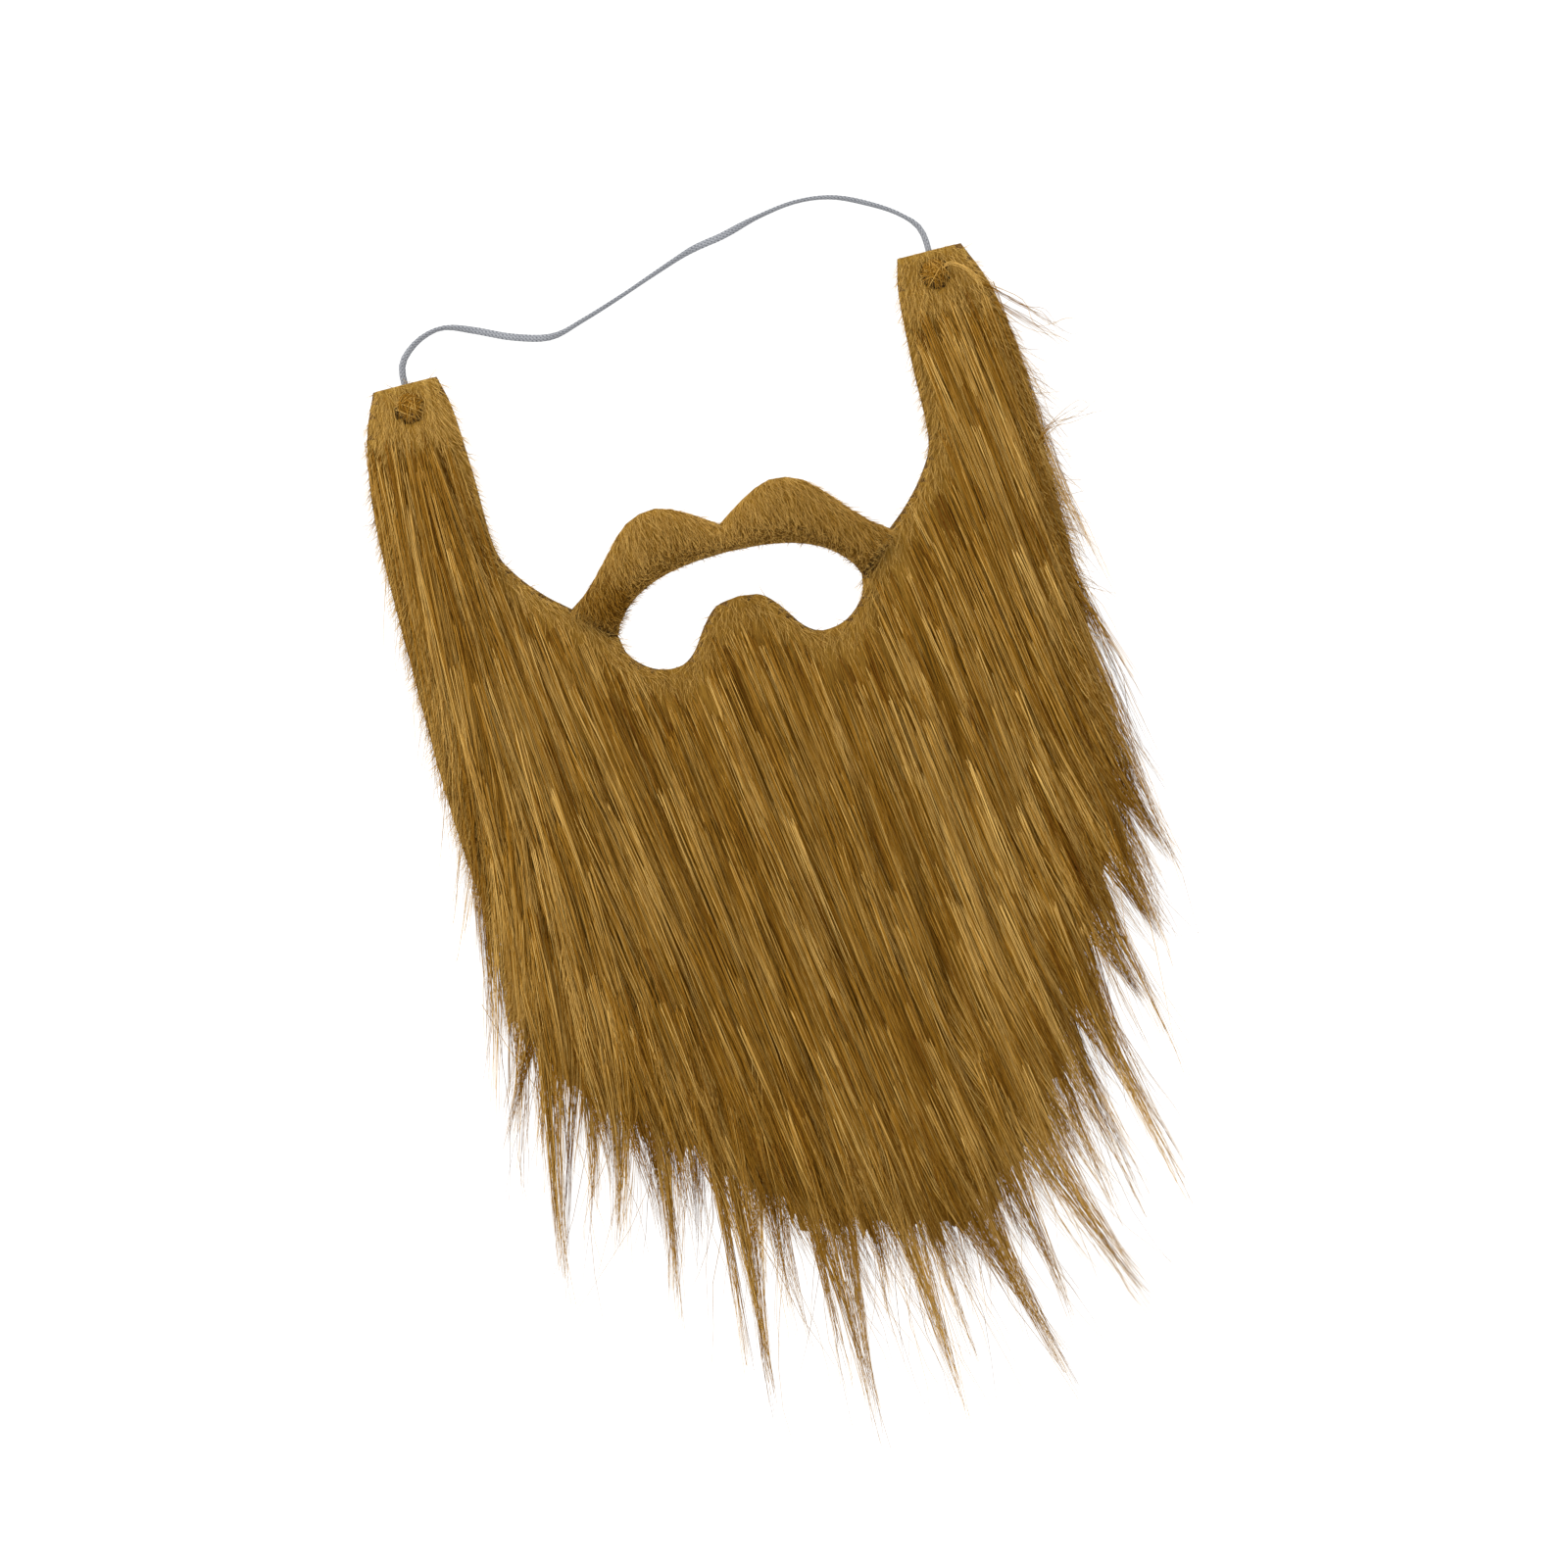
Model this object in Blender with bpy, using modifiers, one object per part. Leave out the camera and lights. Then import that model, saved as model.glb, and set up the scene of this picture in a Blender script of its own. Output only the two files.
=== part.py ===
"""A fake beard with a moustache, cut from long-pile fur cloth and worn on an elastic cord.

It lies face up. +Z points out of the pile, +Y to the tabs beside the ears and -Y to the tips
of the hair. Lengths are in metres. The pattern is drawn with the tops of the tabs at y = 0,
and the finished pieces are moved so that the origin is at the bottom centre of the beard.
"""

import math

import bmesh
import bpy
from mathutils import Vector
from mathutils.geometry import interpolate_bezier

# Sizes of the cut cloth
HALF_WIDTH = 0.102
BACKING_DROP = 0.245
TAB_WIDTH = 0.020
TAB_INSET = 0.0095
BACKING_THICKNESS = 0.0012

# Sizes of the hair
HAIR_OVERHANG = 0.101
NAP_THICKNESS = 0.0032
LOCK_HEIGHT = 0.0068
LOCK_TIP_THICKNESS = 0.0012
LOCK_ROOT_INSET = 0.003
LOCK_SWAY = 0.0014
MOUSTACHE_HEIGHT = 0.0056

# Sizes of the elastic and its knots
CORD_DIAMETER = 0.0022
STEM_DIAMETER = 0.0018
KNOT_DIAMETER = 0.0046
HOLE_DROP = 0.0075
HOLE_CLEARANCE = 0.0003
DIMPLE_CLEARANCE = 0.0008

# Gap between pieces that touch, and the length over which a tab rises over the cord
GAP = 0.0003
LIFT_SHELF = 0.013
LIFT_RUN = 0.026
LIFT_STEPS = 7

# Fineness of the faceted shapes
SPAN_STEPS = 4
LOCK_STEPS = 24
MOUSTACHE_STATIONS = 12
KNOT_SIDES = 12
HOLE_SIDES = 12
CORD_POINTS = 78
SMOOTH_ANGLE = math.radians(50)

# Sizes that follow from the ones above
HAIR_DROP = BACKING_DROP + HAIR_OVERHANG
TAB_OUTER = HALF_WIDTH - TAB_INSET
TAB_INNER = TAB_OUTER - TAB_WIDTH
HOLE_ACROSS = (TAB_INNER + TAB_OUTER) / 2
CORD_HEIGHT = CORD_DIAMETER / 2
TAB_LIFT = CORD_DIAMETER + GAP
NAP_BOTTOM = BACKING_THICKNESS + GAP
TINY = GAP / 30

# The cloth's outline on one half, as shares of HALF_WIDTH across and BACKING_DROP down. The
# hump is the moustache's upper edge, the bay the cheek's edge up to the tab, and the side
# runs from the tab round to the bottom of the chin.
HUMP = [
    (0.0, 0.265), (0.088, 0.241), (0.178, 0.226), (0.272, 0.236), (0.353, 0.27), (0.43, 0.304), (0.49, 0.322),
]
BAY = [(0.49, 0.322), (0.559, 0.297), (0.63, 0.262), (0.672, 0.222), (0.678, 0.13), (0.688, 0.045)]
SIDE = [
    (0.962, 0.06), (1.0, 0.165), (1.0, 0.35), (0.99, 0.55), (0.945, 0.7),
    (0.82, 0.83), (0.6, 0.925), (0.32, 0.982), (0.0, 1.0),
]

# The mouth opening, in the same shares: the upper lip's edge out to the corner of the mouth,
# and the lower edge back from there over the tuft below the lip
UPPER_LIP = [(0.0, 0.3), (0.12, 0.303), (0.22, 0.312), (0.3, 0.328), (0.355, 0.35), (0.377, 0.368)]
LOWER_LIP = [
    (0.377, 0.368), (0.36, 0.395), (0.3, 0.418), (0.225, 0.4245),
    (0.17, 0.412), (0.12, 0.383), (0.07, 0.3625), (0.0, 0.357),
]

# The locks of hair, from the left of the picture to its right. Across and half width are
# shares of HALF_WIDTH, down is a share of HAIR_DROP and height one of LOCK_HEIGHT. A lock
# is rooted at the top, leaves the mass of hair further down, and ends in its tip.
LOCK_COLUMNS = ("root_across", "leave_across", "leave_down", "tip_across", "tip_down", "half_width", "height")
LOCKS = [
    (-0.905, -0.935, 0.575, -1.1, 0.697, 0.058, 0.8),
    (-0.825, -0.865, 0.64, -1.01, 0.821, 0.068, 1.0),
    (-0.745, -0.76, 0.675, -0.863, 0.795, 0.064, 0.85),
    (-0.655, -0.676, 0.694, -0.745, 0.85, 0.064, 0.95),
    (-0.56, -0.585, 0.717, -0.7, 0.861, 0.068, 0.8),
    (-0.465, -0.475, 0.75, -0.515, 0.945, 0.06, 1.0),
    (-0.375, -0.385, 0.78, -0.455, 0.957, 0.068, 0.9),
    (-0.28, -0.285, 0.81, -0.265, 0.97, 0.062, 0.75),
    (-0.185, -0.19, 0.825, -0.2, 1.0, 0.066, 1.0),
    (-0.09, -0.092, 0.83, -0.11, 0.915, 0.062, 0.85),
    (0.005, 0.01, 0.842, 0.049, 0.992, 0.064, 0.95),
    (0.1, 0.105, 0.852, 0.135, 0.955, 0.06, 0.8),
    (0.19, 0.2, 0.852, 0.324, 0.985, 0.068, 1.0),
    (0.285, 0.295, 0.835, 0.42, 0.997, 0.064, 0.85),
    (0.38, 0.395, 0.81, 0.47, 0.935, 0.062, 0.95),
    (0.47, 0.5, 0.785, 0.66, 0.955, 0.068, 0.85),
    (0.565, 0.6, 0.735, 0.71, 0.862, 0.062, 1.0),
    (0.655, 0.69, 0.675, 0.863, 0.873, 0.068, 0.9),
    (0.745, 0.79, 0.605, 0.895, 0.71, 0.064, 0.8),
    (0.825, 0.88, 0.545, 0.985, 0.65, 0.066, 1.0),
    (0.905, 0.955, 0.47, 1.08, 0.592, 0.056, 0.8),
]

# A lock along its length: the way through the mass and then along the loose tail, with its
# width and height as shares of the full ones
STAGE_COLUMNS = ("part", "way", "width", "height")
LOCK_STAGES = [
    ("mass", 0.0, 0.55, 0.1),
    ("mass", 0.06, 0.85, 0.5),
    ("mass", 0.16, 1.0, 0.85),
    ("mass", 0.32, 1.0, 1.0),
    ("mass", 0.48, 1.0, 0.94),
    ("mass", 0.64, 1.0, 1.0),
    ("mass", 0.8, 1.0, 0.94),
    ("mass", 0.92, 0.96, 0.84),
    ("tail", 0.0, 0.84, 0.72),
    ("tail", 0.18, 0.62, 0.54),
    ("tail", 0.42, 0.42, 0.35),
    ("tail", 0.7, 0.22, 0.18),
    ("tail", 1.0, 0.07, 0.05),
]

# How a lock sways from side to side: waves down the beard, and the shift to the next lock
SWAY_WAVES = 1.6
SWAY_SHIFT = 0.37

# The share of the overhang over which hair that has left the cloth sinks to the table, and
# how deep a lock's underside sits in the nap, as a share of the nap's thickness
SINK_SHARE = 0.45
SEAT_SHARE = 0.45

# Sections from one edge to the other, as shares of the way across and of the height
LOCK_SECTION = [(-1.0, 0.0), (-0.86, 0.5), (-0.48, 0.87), (0.0, 1.0), (0.48, 0.87), (0.86, 0.5), (1.0, 0.0)]
MOUSTACHE_SECTION = [
    (0.0, 0.0), (0.0, 0.34), (0.1, 0.66), (0.32, 0.93), (0.58, 1.0), (0.82, 0.84), (0.95, 0.56), (1.0, 0.26), (1.0, 0.0),
]

# A knot's profile as angles round its body, which is flatter than it is wide
KNOT_ANGLES = (90, 62, 34, 6, -22, -48)
KNOT_FLATNESS = 0.8

# The elastic's route over the table from tab to tab, past the tabs' tops
CORD_ROUTE = [
    (-0.0825, 0.0045), (-0.0795, 0.0095), (-0.0735, 0.0132), (-0.0665, 0.0142), (-0.058, 0.0112),
    (-0.047, 0.0063), (-0.0355, 0.0035), (-0.025, 0.006), (-0.012, 0.0102), (0.0, 0.0145),
    (0.0125, 0.0187), (0.0225, 0.0205), (0.034, 0.0233), (0.0465, 0.025), (0.058, 0.0236),
    (0.069, 0.0186), (0.0775, 0.0128), (0.0822, 0.0062),
]

# Each material's colour and roughness
FINISHES = {
    "backing_cloth": ((0.56, 0.44, 0.27, 1.0), 0.95),
    "long_hair": ((0.3, 0.16, 0.035, 1.0), 0.55),
    "clipped_hair": ((0.33, 0.18, 0.045, 1.0), 0.6),
    "elastic": ((0.82, 0.83, 0.85, 1.0), 0.7),
}


def clear_scene():
    for thing in list(bpy.data.objects):
        bpy.data.objects.remove(thing)


def new_collection(name):
    collection = bpy.data.collections.new(name)
    bpy.context.scene.collection.children.link(collection)
    return collection


def finish(things, name):
    colour, roughness = FINISHES[name]
    material = bpy.data.materials.new(name)
    material.use_nodes = True
    shader = material.node_tree.nodes["Principled BSDF"]
    shader.inputs["Base Color"].default_value = colour
    shader.inputs["Roughness"].default_value = roughness
    shader.inputs["Metallic"].default_value = 0.0
    for thing in things:
        thing.data.materials.append(material)


def add_object(name, data, collection):
    thing = bpy.data.objects.new(name, data)
    collection.objects.link(thing)
    return thing


def smooth_through(points, steps):
    """A Catmull-Rom curve through the points, with its ends included."""
    ends = [2 * points[0] - points[1]] + points + [2 * points[-1] - points[-2]]
    curve = []
    for before, start, end, after in zip(ends, ends[1:], ends[2:], ends[3:]):
        for step in range(steps):
            t = step / steps
            curve.append(
                0.5 * (2 * start + (end - before) * t
                       + (2 * before - 5 * start + 4 * end - after) * t * t
                       + (3 * start - before - 3 * end + after) * t ** 3)
            )
    return curve + [points[-1].copy()]


def at_equal_steps(curve, count):
    """The curve again, as a number of points that lie equally far apart along it."""
    reached = [0.0]
    for start, end in zip(curve, curve[1:]):
        reached.append(reached[-1] + (end - start).length)
    found = []
    span = 0
    for index in range(count):
        wanted = reached[-1] * index / (count - 1)
        while span < len(curve) - 2 and reached[span + 1] < wanted:
            span += 1
        share = (wanted - reached[span]) / (reached[span + 1] - reached[span])
        found.append(curve[span].lerp(curve[span + 1], min(1.0, share)))
    return found


def edge_curve(table, before=(), after=()):
    """A smooth edge through a table of shares, with further points before and after it."""
    points = [Vector((across * HALF_WIDTH, -down * BACKING_DROP)) for across, down in table]
    return smooth_through([*before, *points, *after], SPAN_STEPS)


def mirrored(curve):
    """The same curve on the other half, running the other way."""
    return [Vector((-point.x, point.y)) for point in reversed(curve)]


def joined(*curves):
    """Curves end to end as one closed outline, with each shared end kept once."""
    outline = []
    for curve in curves:
        shared = outline and (outline[-1] - curve[0]).length < TINY
        outline += curve[1:] if shared else curve
    if (outline[0] - outline[-1]).length < TINY:
        outline.pop()
    return outline


hump_edge = edge_curve(HUMP)
bay_edge = edge_curve(BAY, after=[Vector((TAB_INNER, 0.0))])
side_edge = edge_curve(SIDE, before=[Vector((TAB_OUTER, 0.0))])
upper_lip = edge_curve(UPPER_LIP)
lower_lip = edge_curve(LOWER_LIP)


def height_on(curve, x):
    """The lowest y at which the curve crosses x."""
    return min(
        start.y + (end.y - start.y) * (x - start.x) / (end.x - start.x)
        for start, end in zip(curve, curve[1:])
        if min(start.x, end.x) <= x <= max(start.x, end.x) and start.x != end.x
    )


def tab_rise(y):
    """How far the cloth stands off the table where a tab rests on the elastic."""
    share = max(0.0, min(1.0, (y + LIFT_SHELF + LIFT_RUN) / LIFT_RUN))
    return TAB_LIFT * share * share * (3 - 2 * share)


def knot_seat(side):
    return Vector((side * HOLE_ACROSS, -HOLE_DROP))


def circle_points(centre, radius):
    turns = [2 * math.pi * side / HOLE_SIDES for side in range(HOLE_SIDES)]
    return [centre + radius * Vector((math.cos(turn), math.sin(turn))) for turn in turns]


def flat_sheet(name, outlines, bottom, thickness, collection):
    """A sheet with the given outlines, bent up at the tabs to clear the elastic below them."""
    curve = bpy.data.curves.new(name + "_outline", "CURVE")
    curve.dimensions = "2D"
    curve.fill_mode = "BOTH"
    curve.extrude = thickness / 2
    for outline in outlines:
        spline = curve.splines.new("POLY")
        spline.points.add(len(outline) - 1)
        spline.use_cyclic_u = True
        for point, place in zip(spline.points, outline):
            point.co = (place.x, place.y, 0.0, 1.0)
    guide = add_object(name + "_guide", curve, collection)
    graph = bpy.context.evaluated_depsgraph_get()
    mesh = bpy.data.meshes.new_from_object(guide.evaluated_get(graph))
    bpy.data.objects.remove(guide)
    work = bmesh.new()
    work.from_mesh(mesh)
    bmesh.ops.remove_doubles(work, verts=work.verts, dist=TINY)
    for step in range(LIFT_STEPS + 1):
        bend = (0.0, -LIFT_SHELF - LIFT_RUN * step / LIFT_STEPS, 0.0)
        everything = work.verts[:] + work.edges[:] + work.faces[:]
        bmesh.ops.bisect_plane(work, geom=everything, dist=TINY / 100, plane_co=bend, plane_no=(0, 1, 0))
    bmesh.ops.triangulate(work, faces=work.faces)
    for vertex in work.verts:
        vertex.co.z += bottom + thickness / 2 + tab_rise(vertex.co.y)
    work.to_mesh(mesh)
    work.free()
    return add_object(name, mesh, collection)


def loft(name, sections, collection):
    """A closed body through sections of equally many points."""
    work = bmesh.new()
    rings = [[work.verts.new(point) for point in section] for section in sections]
    for ring, following in zip(rings, rings[1:]):
        for index in range(len(ring)):
            after = (index + 1) % len(ring)
            work.faces.new((ring[index], ring[after], following[after], following[index]))
    work.faces.new(rings[0])
    work.faces.new(rings[-1])
    bmesh.ops.recalc_face_normals(work, faces=work.faces)
    bmesh.ops.triangulate(work, faces=work.faces)
    mesh = bpy.data.meshes.new(name)
    work.to_mesh(mesh)
    work.free()
    mesh.shade_smooth()
    mesh.set_sharp_from_angle(angle=SMOOTH_ANGLE)
    return add_object(name, mesh, collection)


def pile_edge(x):
    """The top of the long pile at x: under the lip, along the cheek, or below the knot on a tab."""
    across = abs(x)
    if across < lower_lip[0].x:
        return height_on(lower_lip, across)
    if across < bay_edge[0].x:
        return lower_lip[0].y
    if across < bay_edge[-1].x - LOCK_ROOT_INSET:
        return height_on(bay_edge, across)
    return -HOLE_DROP - KNOT_DIAMETER / 2 - DIMPLE_CLEARANCE


def lock_path(row):
    """A lock's two stretches over the table, through the mass and along the loose tail."""
    root_x = row["root_across"] * HALF_WIDTH
    reach = row["half_width"] * HALF_WIDTH
    edge = min(pile_edge(root_x + share * reach) for share in (-1.0, -0.5, 0.0, 0.5, 1.0))
    root = Vector((root_x, edge - LOCK_ROOT_INSET))
    leave = Vector((row["leave_across"] * HALF_WIDTH, -row["leave_down"] * HAIR_DROP))
    tip = Vector((row["tip_across"] * HALF_WIDTH, -row["tip_down"] * HAIR_DROP))
    down = leave - root
    out = tip - leave
    onward = (down.normalized() + out.normalized()).normalized()
    mass = interpolate_bezier(root, root + down / 3, leave - onward * down.length / 3, leave, LOCK_STEPS)
    tail = interpolate_bezier(leave, leave + onward * out.length / 3, tip - out / 3, tip, LOCK_STEPS)
    return {"mass": mass, "tail": tail}


def place_along(points, way):
    """The point at a share of the way along, and the direction there."""
    reach = way * (len(points) - 1)
    index = min(int(reach), len(points) - 2)
    step = points[index + 1] - points[index]
    return points[index] + step * (reach - index), step.normalized()


def underside(centre):
    """A lock's lowest height: in the nap over the cloth, and sinking to the table past it."""
    widest = max(point.x for point in side_edge) - TINY
    hem = height_on(side_edge, min(abs(centre.x), widest))
    past = max(0.0, min(1.0, (hem - centre.y) / (SINK_SHARE * HAIR_OVERHANG)))
    seat = NAP_BOTTOM + NAP_THICKNESS * SEAT_SHARE
    return seat + (GAP - seat) * past + tab_rise(centre.y)


def lock_sections(row, number):
    stretches = lock_path(row)
    sections = []
    for values in LOCK_STAGES:
        stage = dict(zip(STAGE_COLUMNS, values))
        centre, ahead = place_along(stretches[stage["part"]], stage["way"])
        aside = Vector((-ahead.y, ahead.x))
        wave = SWAY_WAVES * centre.y / HAIR_DROP + SWAY_SHIFT * number
        centre = centre + aside * LOCK_SWAY * math.sin(2 * math.pi * wave)
        width = row["half_width"] * HALF_WIDTH * stage["width"]
        crown = NAP_THICKNESS * (1 - SEAT_SHARE) + LOCK_HEIGHT * row["height"]
        rise = LOCK_TIP_THICKNESS + crown * stage["height"]
        low = underside(centre)
        sections.append([
            Vector((*(centre + aside * width * across), low + rise * up)) for across, up in LOCK_SECTION
        ])
    return sections


def make_backing(collection):
    """The cloth, with the mouth opening and a hole at each tab for the elastic."""
    half = joined(hump_edge, bay_edge, side_edge)
    mouth = joined(upper_lip, lower_lip)
    outlines = [joined(half, mirrored(half)), joined(mouth, mirrored(mouth))]
    radius = STEM_DIAMETER / 2 + HOLE_CLEARANCE
    outlines += [circle_points(knot_seat(side), radius) for side in (-1, 1)]
    return flat_sheet("backing", outlines, 0.0, BACKING_THICKNESS, collection)


def make_beard(collection, locks):
    """The long pile of the cheeks and chin: a nap over the cloth, and the locks that grow from it."""
    part_line = [point + Vector((GAP, 0.0)) for point in (lower_lip[0], bay_edge[0])]
    half = joined(part_line, bay_edge[1:], side_edge)
    rim = lower_lip[:0:-1]
    outline = joined(half, mirrored(half), mirrored(rim), rim)
    beard = flat_sheet("beard", [outline], NAP_BOTTOM, NAP_THICKNESS, collection)
    for number, values in enumerate(LOCKS):
        row = dict(zip(LOCK_COLUMNS, values))
        loft(f"lock_{number:02d}", lock_sections(row, number), locks)
    growth = beard.modifiers.new("locks", "BOOLEAN")
    growth.operation = "UNION"
    growth.operand_type = "COLLECTION"
    growth.collection = locks
    growth.solver = "EXACT"
    return beard


def cut_dimple(beard, side, collection):
    """The hollow in the pile round a knot."""
    seat = knot_seat(side)
    bpy.ops.mesh.primitive_cylinder_add(
        vertices=HOLE_SIDES,
        radius=KNOT_DIAMETER / 2 + DIMPLE_CLEARANCE,
        depth=4 * NAP_THICKNESS,
        location=(seat.x, seat.y, NAP_BOTTOM + NAP_THICKNESS / 2 + tab_rise(seat.y)),
    )
    cutter = bpy.context.object
    cutter.name = "dimple_left" if side < 0 else "dimple_right"
    for holder in list(cutter.users_collection):
        holder.objects.unlink(cutter)
    collection.objects.link(cutter)
    cut = beard.modifiers.new(cutter.name, "BOOLEAN")
    cut.operation = "DIFFERENCE"
    cut.object = cutter
    cut.solver = "EXACT"


def make_moustache(collection):
    """The clipped pile over the lip, crowned from its upper edge to the mouth."""
    upper = at_equal_steps(hump_edge, MOUSTACHE_STATIONS + 1)
    lower = at_equal_steps(upper_lip, MOUSTACHE_STATIONS + 1)
    stations = list(zip(mirrored(upper)[:-1], mirrored(lower)[:-1])) + list(zip(upper, lower))
    sections = [
        [
            Vector((*high.lerp(low, across), NAP_BOTTOM + MOUSTACHE_HEIGHT * up))
            for across, up in MOUSTACHE_SECTION
        ]
        for high, low in stations
    ]
    return loft("moustache", sections, collection)


def make_cord(collection):
    """The elastic on the table, running from knot to knot and under the tabs' tops."""
    stops = [knot_seat(-1)] + [Vector(point) for point in CORD_ROUTE] + [knot_seat(1)]
    route = at_equal_steps(smooth_through(stops, SPAN_STEPS * 2), CORD_POINTS)
    curve = bpy.data.curves.new("elastic_cord", "CURVE")
    curve.dimensions = "3D"
    curve.bevel_depth = CORD_DIAMETER / 2
    curve.bevel_resolution = 2
    curve.use_fill_caps = True
    spline = curve.splines.new("POLY")
    spline.points.add(len(route) - 1)
    for point, place in zip(spline.points, route):
        point.co = (place.x, place.y, CORD_HEIGHT, 1.0)
    return add_object("elastic_cord", curve, collection)


def make_knot(side, collection):
    """The knot on top of the cloth, with the stretch of elastic that goes down through it."""
    radius = KNOT_DIAMETER / 2
    middle = NAP_BOTTOM + radius * KNOT_FLATNESS
    neck = STEM_DIAMETER / 2
    turns = [math.radians(angle) for angle in KNOT_ANGLES]
    profile = [(radius * math.cos(turn), middle + radius * KNOT_FLATNESS * math.sin(turn)) for turn in turns]
    profile[0] = (0.0, profile[0][1])
    profile += [(neck, NAP_BOTTOM), (neck, 0.0), (0.0, 0.0)]
    mesh = bpy.data.meshes.new("knot")
    edges = [(index, index + 1) for index in range(len(profile) - 1)]
    mesh.from_pydata([(x, 0.0, z) for x, z in profile], edges, [])
    knot = add_object("knot_left" if side < 0 else "knot_right", mesh, collection)
    turned = knot.modifiers.new("turned", "SCREW")
    turned.steps = KNOT_SIDES
    turned.render_steps = KNOT_SIDES
    turned.use_merge_vertices = True
    turned.merge_threshold = TINY
    turned.use_normal_calculate = True
    knot.location = (*knot_seat(side), tab_rise(-HOLE_DROP))
    return knot


def box_of(thing, graph):
    evaluated = thing.evaluated_get(graph)
    places = [evaluated.matrix_world @ vertex.co for vertex in evaluated.data.vertices]
    lowest = [min(place[axis] for place in places) for axis in range(3)]
    highest = [max(place[axis] for place in places) for axis in range(3)]
    return lowest, highest


def move_to_origin(measured, things):
    """Put the bottom centre of the measured pieces at the origin."""
    bpy.context.view_layer.update()
    graph = bpy.context.evaluated_depsgraph_get()
    boxes = [box_of(thing, graph) for thing in measured]
    for axis in range(2):
        low = min(lowest[axis] for lowest, highest in boxes)
        high = max(highest[axis] for lowest, highest in boxes)
        for thing in things:
            thing.location[axis] -= (low + high) / 2


def main():
    clear_scene()
    pieces = new_collection("fake_beard")
    locks = new_collection("locks")
    cutters = new_collection("cutters")
    backing = make_backing(pieces)
    beard = make_beard(pieces, locks)
    moustache = make_moustache(pieces)
    cord = make_cord(pieces)
    knots = [make_knot(side, pieces) for side in (-1, 1)]
    for side in (-1, 1):
        cut_dimple(beard, side, cutters)
    helpers = list(locks.objects) + list(cutters.objects)
    for helper in helpers:
        helper.hide_render = True
        helper.display_type = "WIRE"
    finish([backing], "backing_cloth")
    finish([beard], "long_hair")
    finish([moustache], "clipped_hair")
    finish([cord, *knots], "elastic")
    move_to_origin([backing, beard, moustache], list(pieces.objects) + helpers)


main()
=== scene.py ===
import math
import random

import bmesh
import bpy
import numpy as np
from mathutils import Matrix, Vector
from mathutils.bvhtree import BVHTree
from mathutils.geometry import interpolate_bezier
from mathutils.noise import noise


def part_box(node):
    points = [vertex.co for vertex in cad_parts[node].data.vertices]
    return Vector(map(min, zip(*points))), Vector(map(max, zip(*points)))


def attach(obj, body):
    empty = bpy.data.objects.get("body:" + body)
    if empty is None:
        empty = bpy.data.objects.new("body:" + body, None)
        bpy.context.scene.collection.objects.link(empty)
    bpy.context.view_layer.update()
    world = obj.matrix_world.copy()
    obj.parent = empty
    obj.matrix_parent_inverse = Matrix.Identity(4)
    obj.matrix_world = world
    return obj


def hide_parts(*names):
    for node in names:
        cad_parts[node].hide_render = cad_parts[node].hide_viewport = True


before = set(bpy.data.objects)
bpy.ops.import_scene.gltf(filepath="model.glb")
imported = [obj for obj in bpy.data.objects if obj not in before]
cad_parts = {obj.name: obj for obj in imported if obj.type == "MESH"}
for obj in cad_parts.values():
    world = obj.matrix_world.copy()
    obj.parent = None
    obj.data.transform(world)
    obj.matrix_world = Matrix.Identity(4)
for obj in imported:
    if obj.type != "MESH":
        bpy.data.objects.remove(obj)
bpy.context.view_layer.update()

# The pattern's own place: x = 0 in the middle of the cloth and y = 0 at the tops of the tabs
clothLow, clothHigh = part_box("backing")
middleX = (clothLow[0] + clothHigh[0]) / 2
topY = clothHigh[1]
clothTop = 0.0012  # the cloth's thickness
floorGap = 0.0004  # how far the lowest hair stays off the table


def onPattern(x, y):
    return Vector((x + middleX, y + topY))


# Node helpers


# One node, with its settings made and each input linked to a socket or set to a value
def addNode(tree, kind, links=None, **settings):
    node = tree.nodes.new(kind)
    for name, value in settings.items():
        setattr(node, name, value)
    for key, source in (links or {}).items():
        socket = node.inputs[key]
        if isinstance(source, bpy.types.NodeSocket):
            tree.links.new(source, socket)
        else:
            socket.default_value = source
    return node


def calculate(tree, operation, *sources):
    return addNode(tree, "ShaderNodeMath", dict(enumerate(sources)), operation=operation).outputs[0]


def scaledVector(tree, vector, share):
    node = addNode(tree, "ShaderNodeVectorMath", {0: vector, "Scale": share}, operation="SCALE")
    return node.outputs["Vector"]


def combinedVector(tree, operation, first, second):
    return addNode(tree, "ShaderNodeVectorMath", {0: first, 1: second}, operation=operation).outputs["Vector"]


# Writes a number on geometry under a name, and gives the geometry
def storeNumber(tree, geometry, name, value, domain="POINT"):
    links = {"Geometry": geometry, "Name": name, "Value": value}
    node = addNode(tree, "GeometryNodeStoreNamedAttribute", links, data_type="FLOAT", domain=domain)
    return node.outputs[0]


def storedValue(tree, name, kind="FLOAT"):
    return addNode(tree, "GeometryNodeInputNamedAttribute", {"Name": name}, data_type=kind).outputs[0]


# A random number or vector, chosen by the tree's seed, a shift of it and, where given, an element's number
def chance(tree, given, low, high, shift, vector=False, number=None):
    first = 0 if vector else 2
    links = {first: low, first + 1: high, "Seed": calculate(tree, "ADD", given.outputs["Seed"], shift)}
    if number:
        links["ID"] = number
    node = addNode(tree, "FunctionNodeRandomValue", links, data_type="FLOAT_VECTOR" if vector else "FLOAT")
    return node.outputs[0 if vector else 1]


def noiseAt(tree, place, scale, detail):
    links = {"Vector": place, "Scale": scale, "Detail": detail}
    return addNode(tree, "ShaderNodeTexNoise", links).outputs["Fac"]


def mixedColour(tree, share, low, high):
    return addNode(tree, "ShaderNodeMix", {"Factor": share, 6: low, 7: high}, data_type="RGBA").outputs[2]


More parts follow.
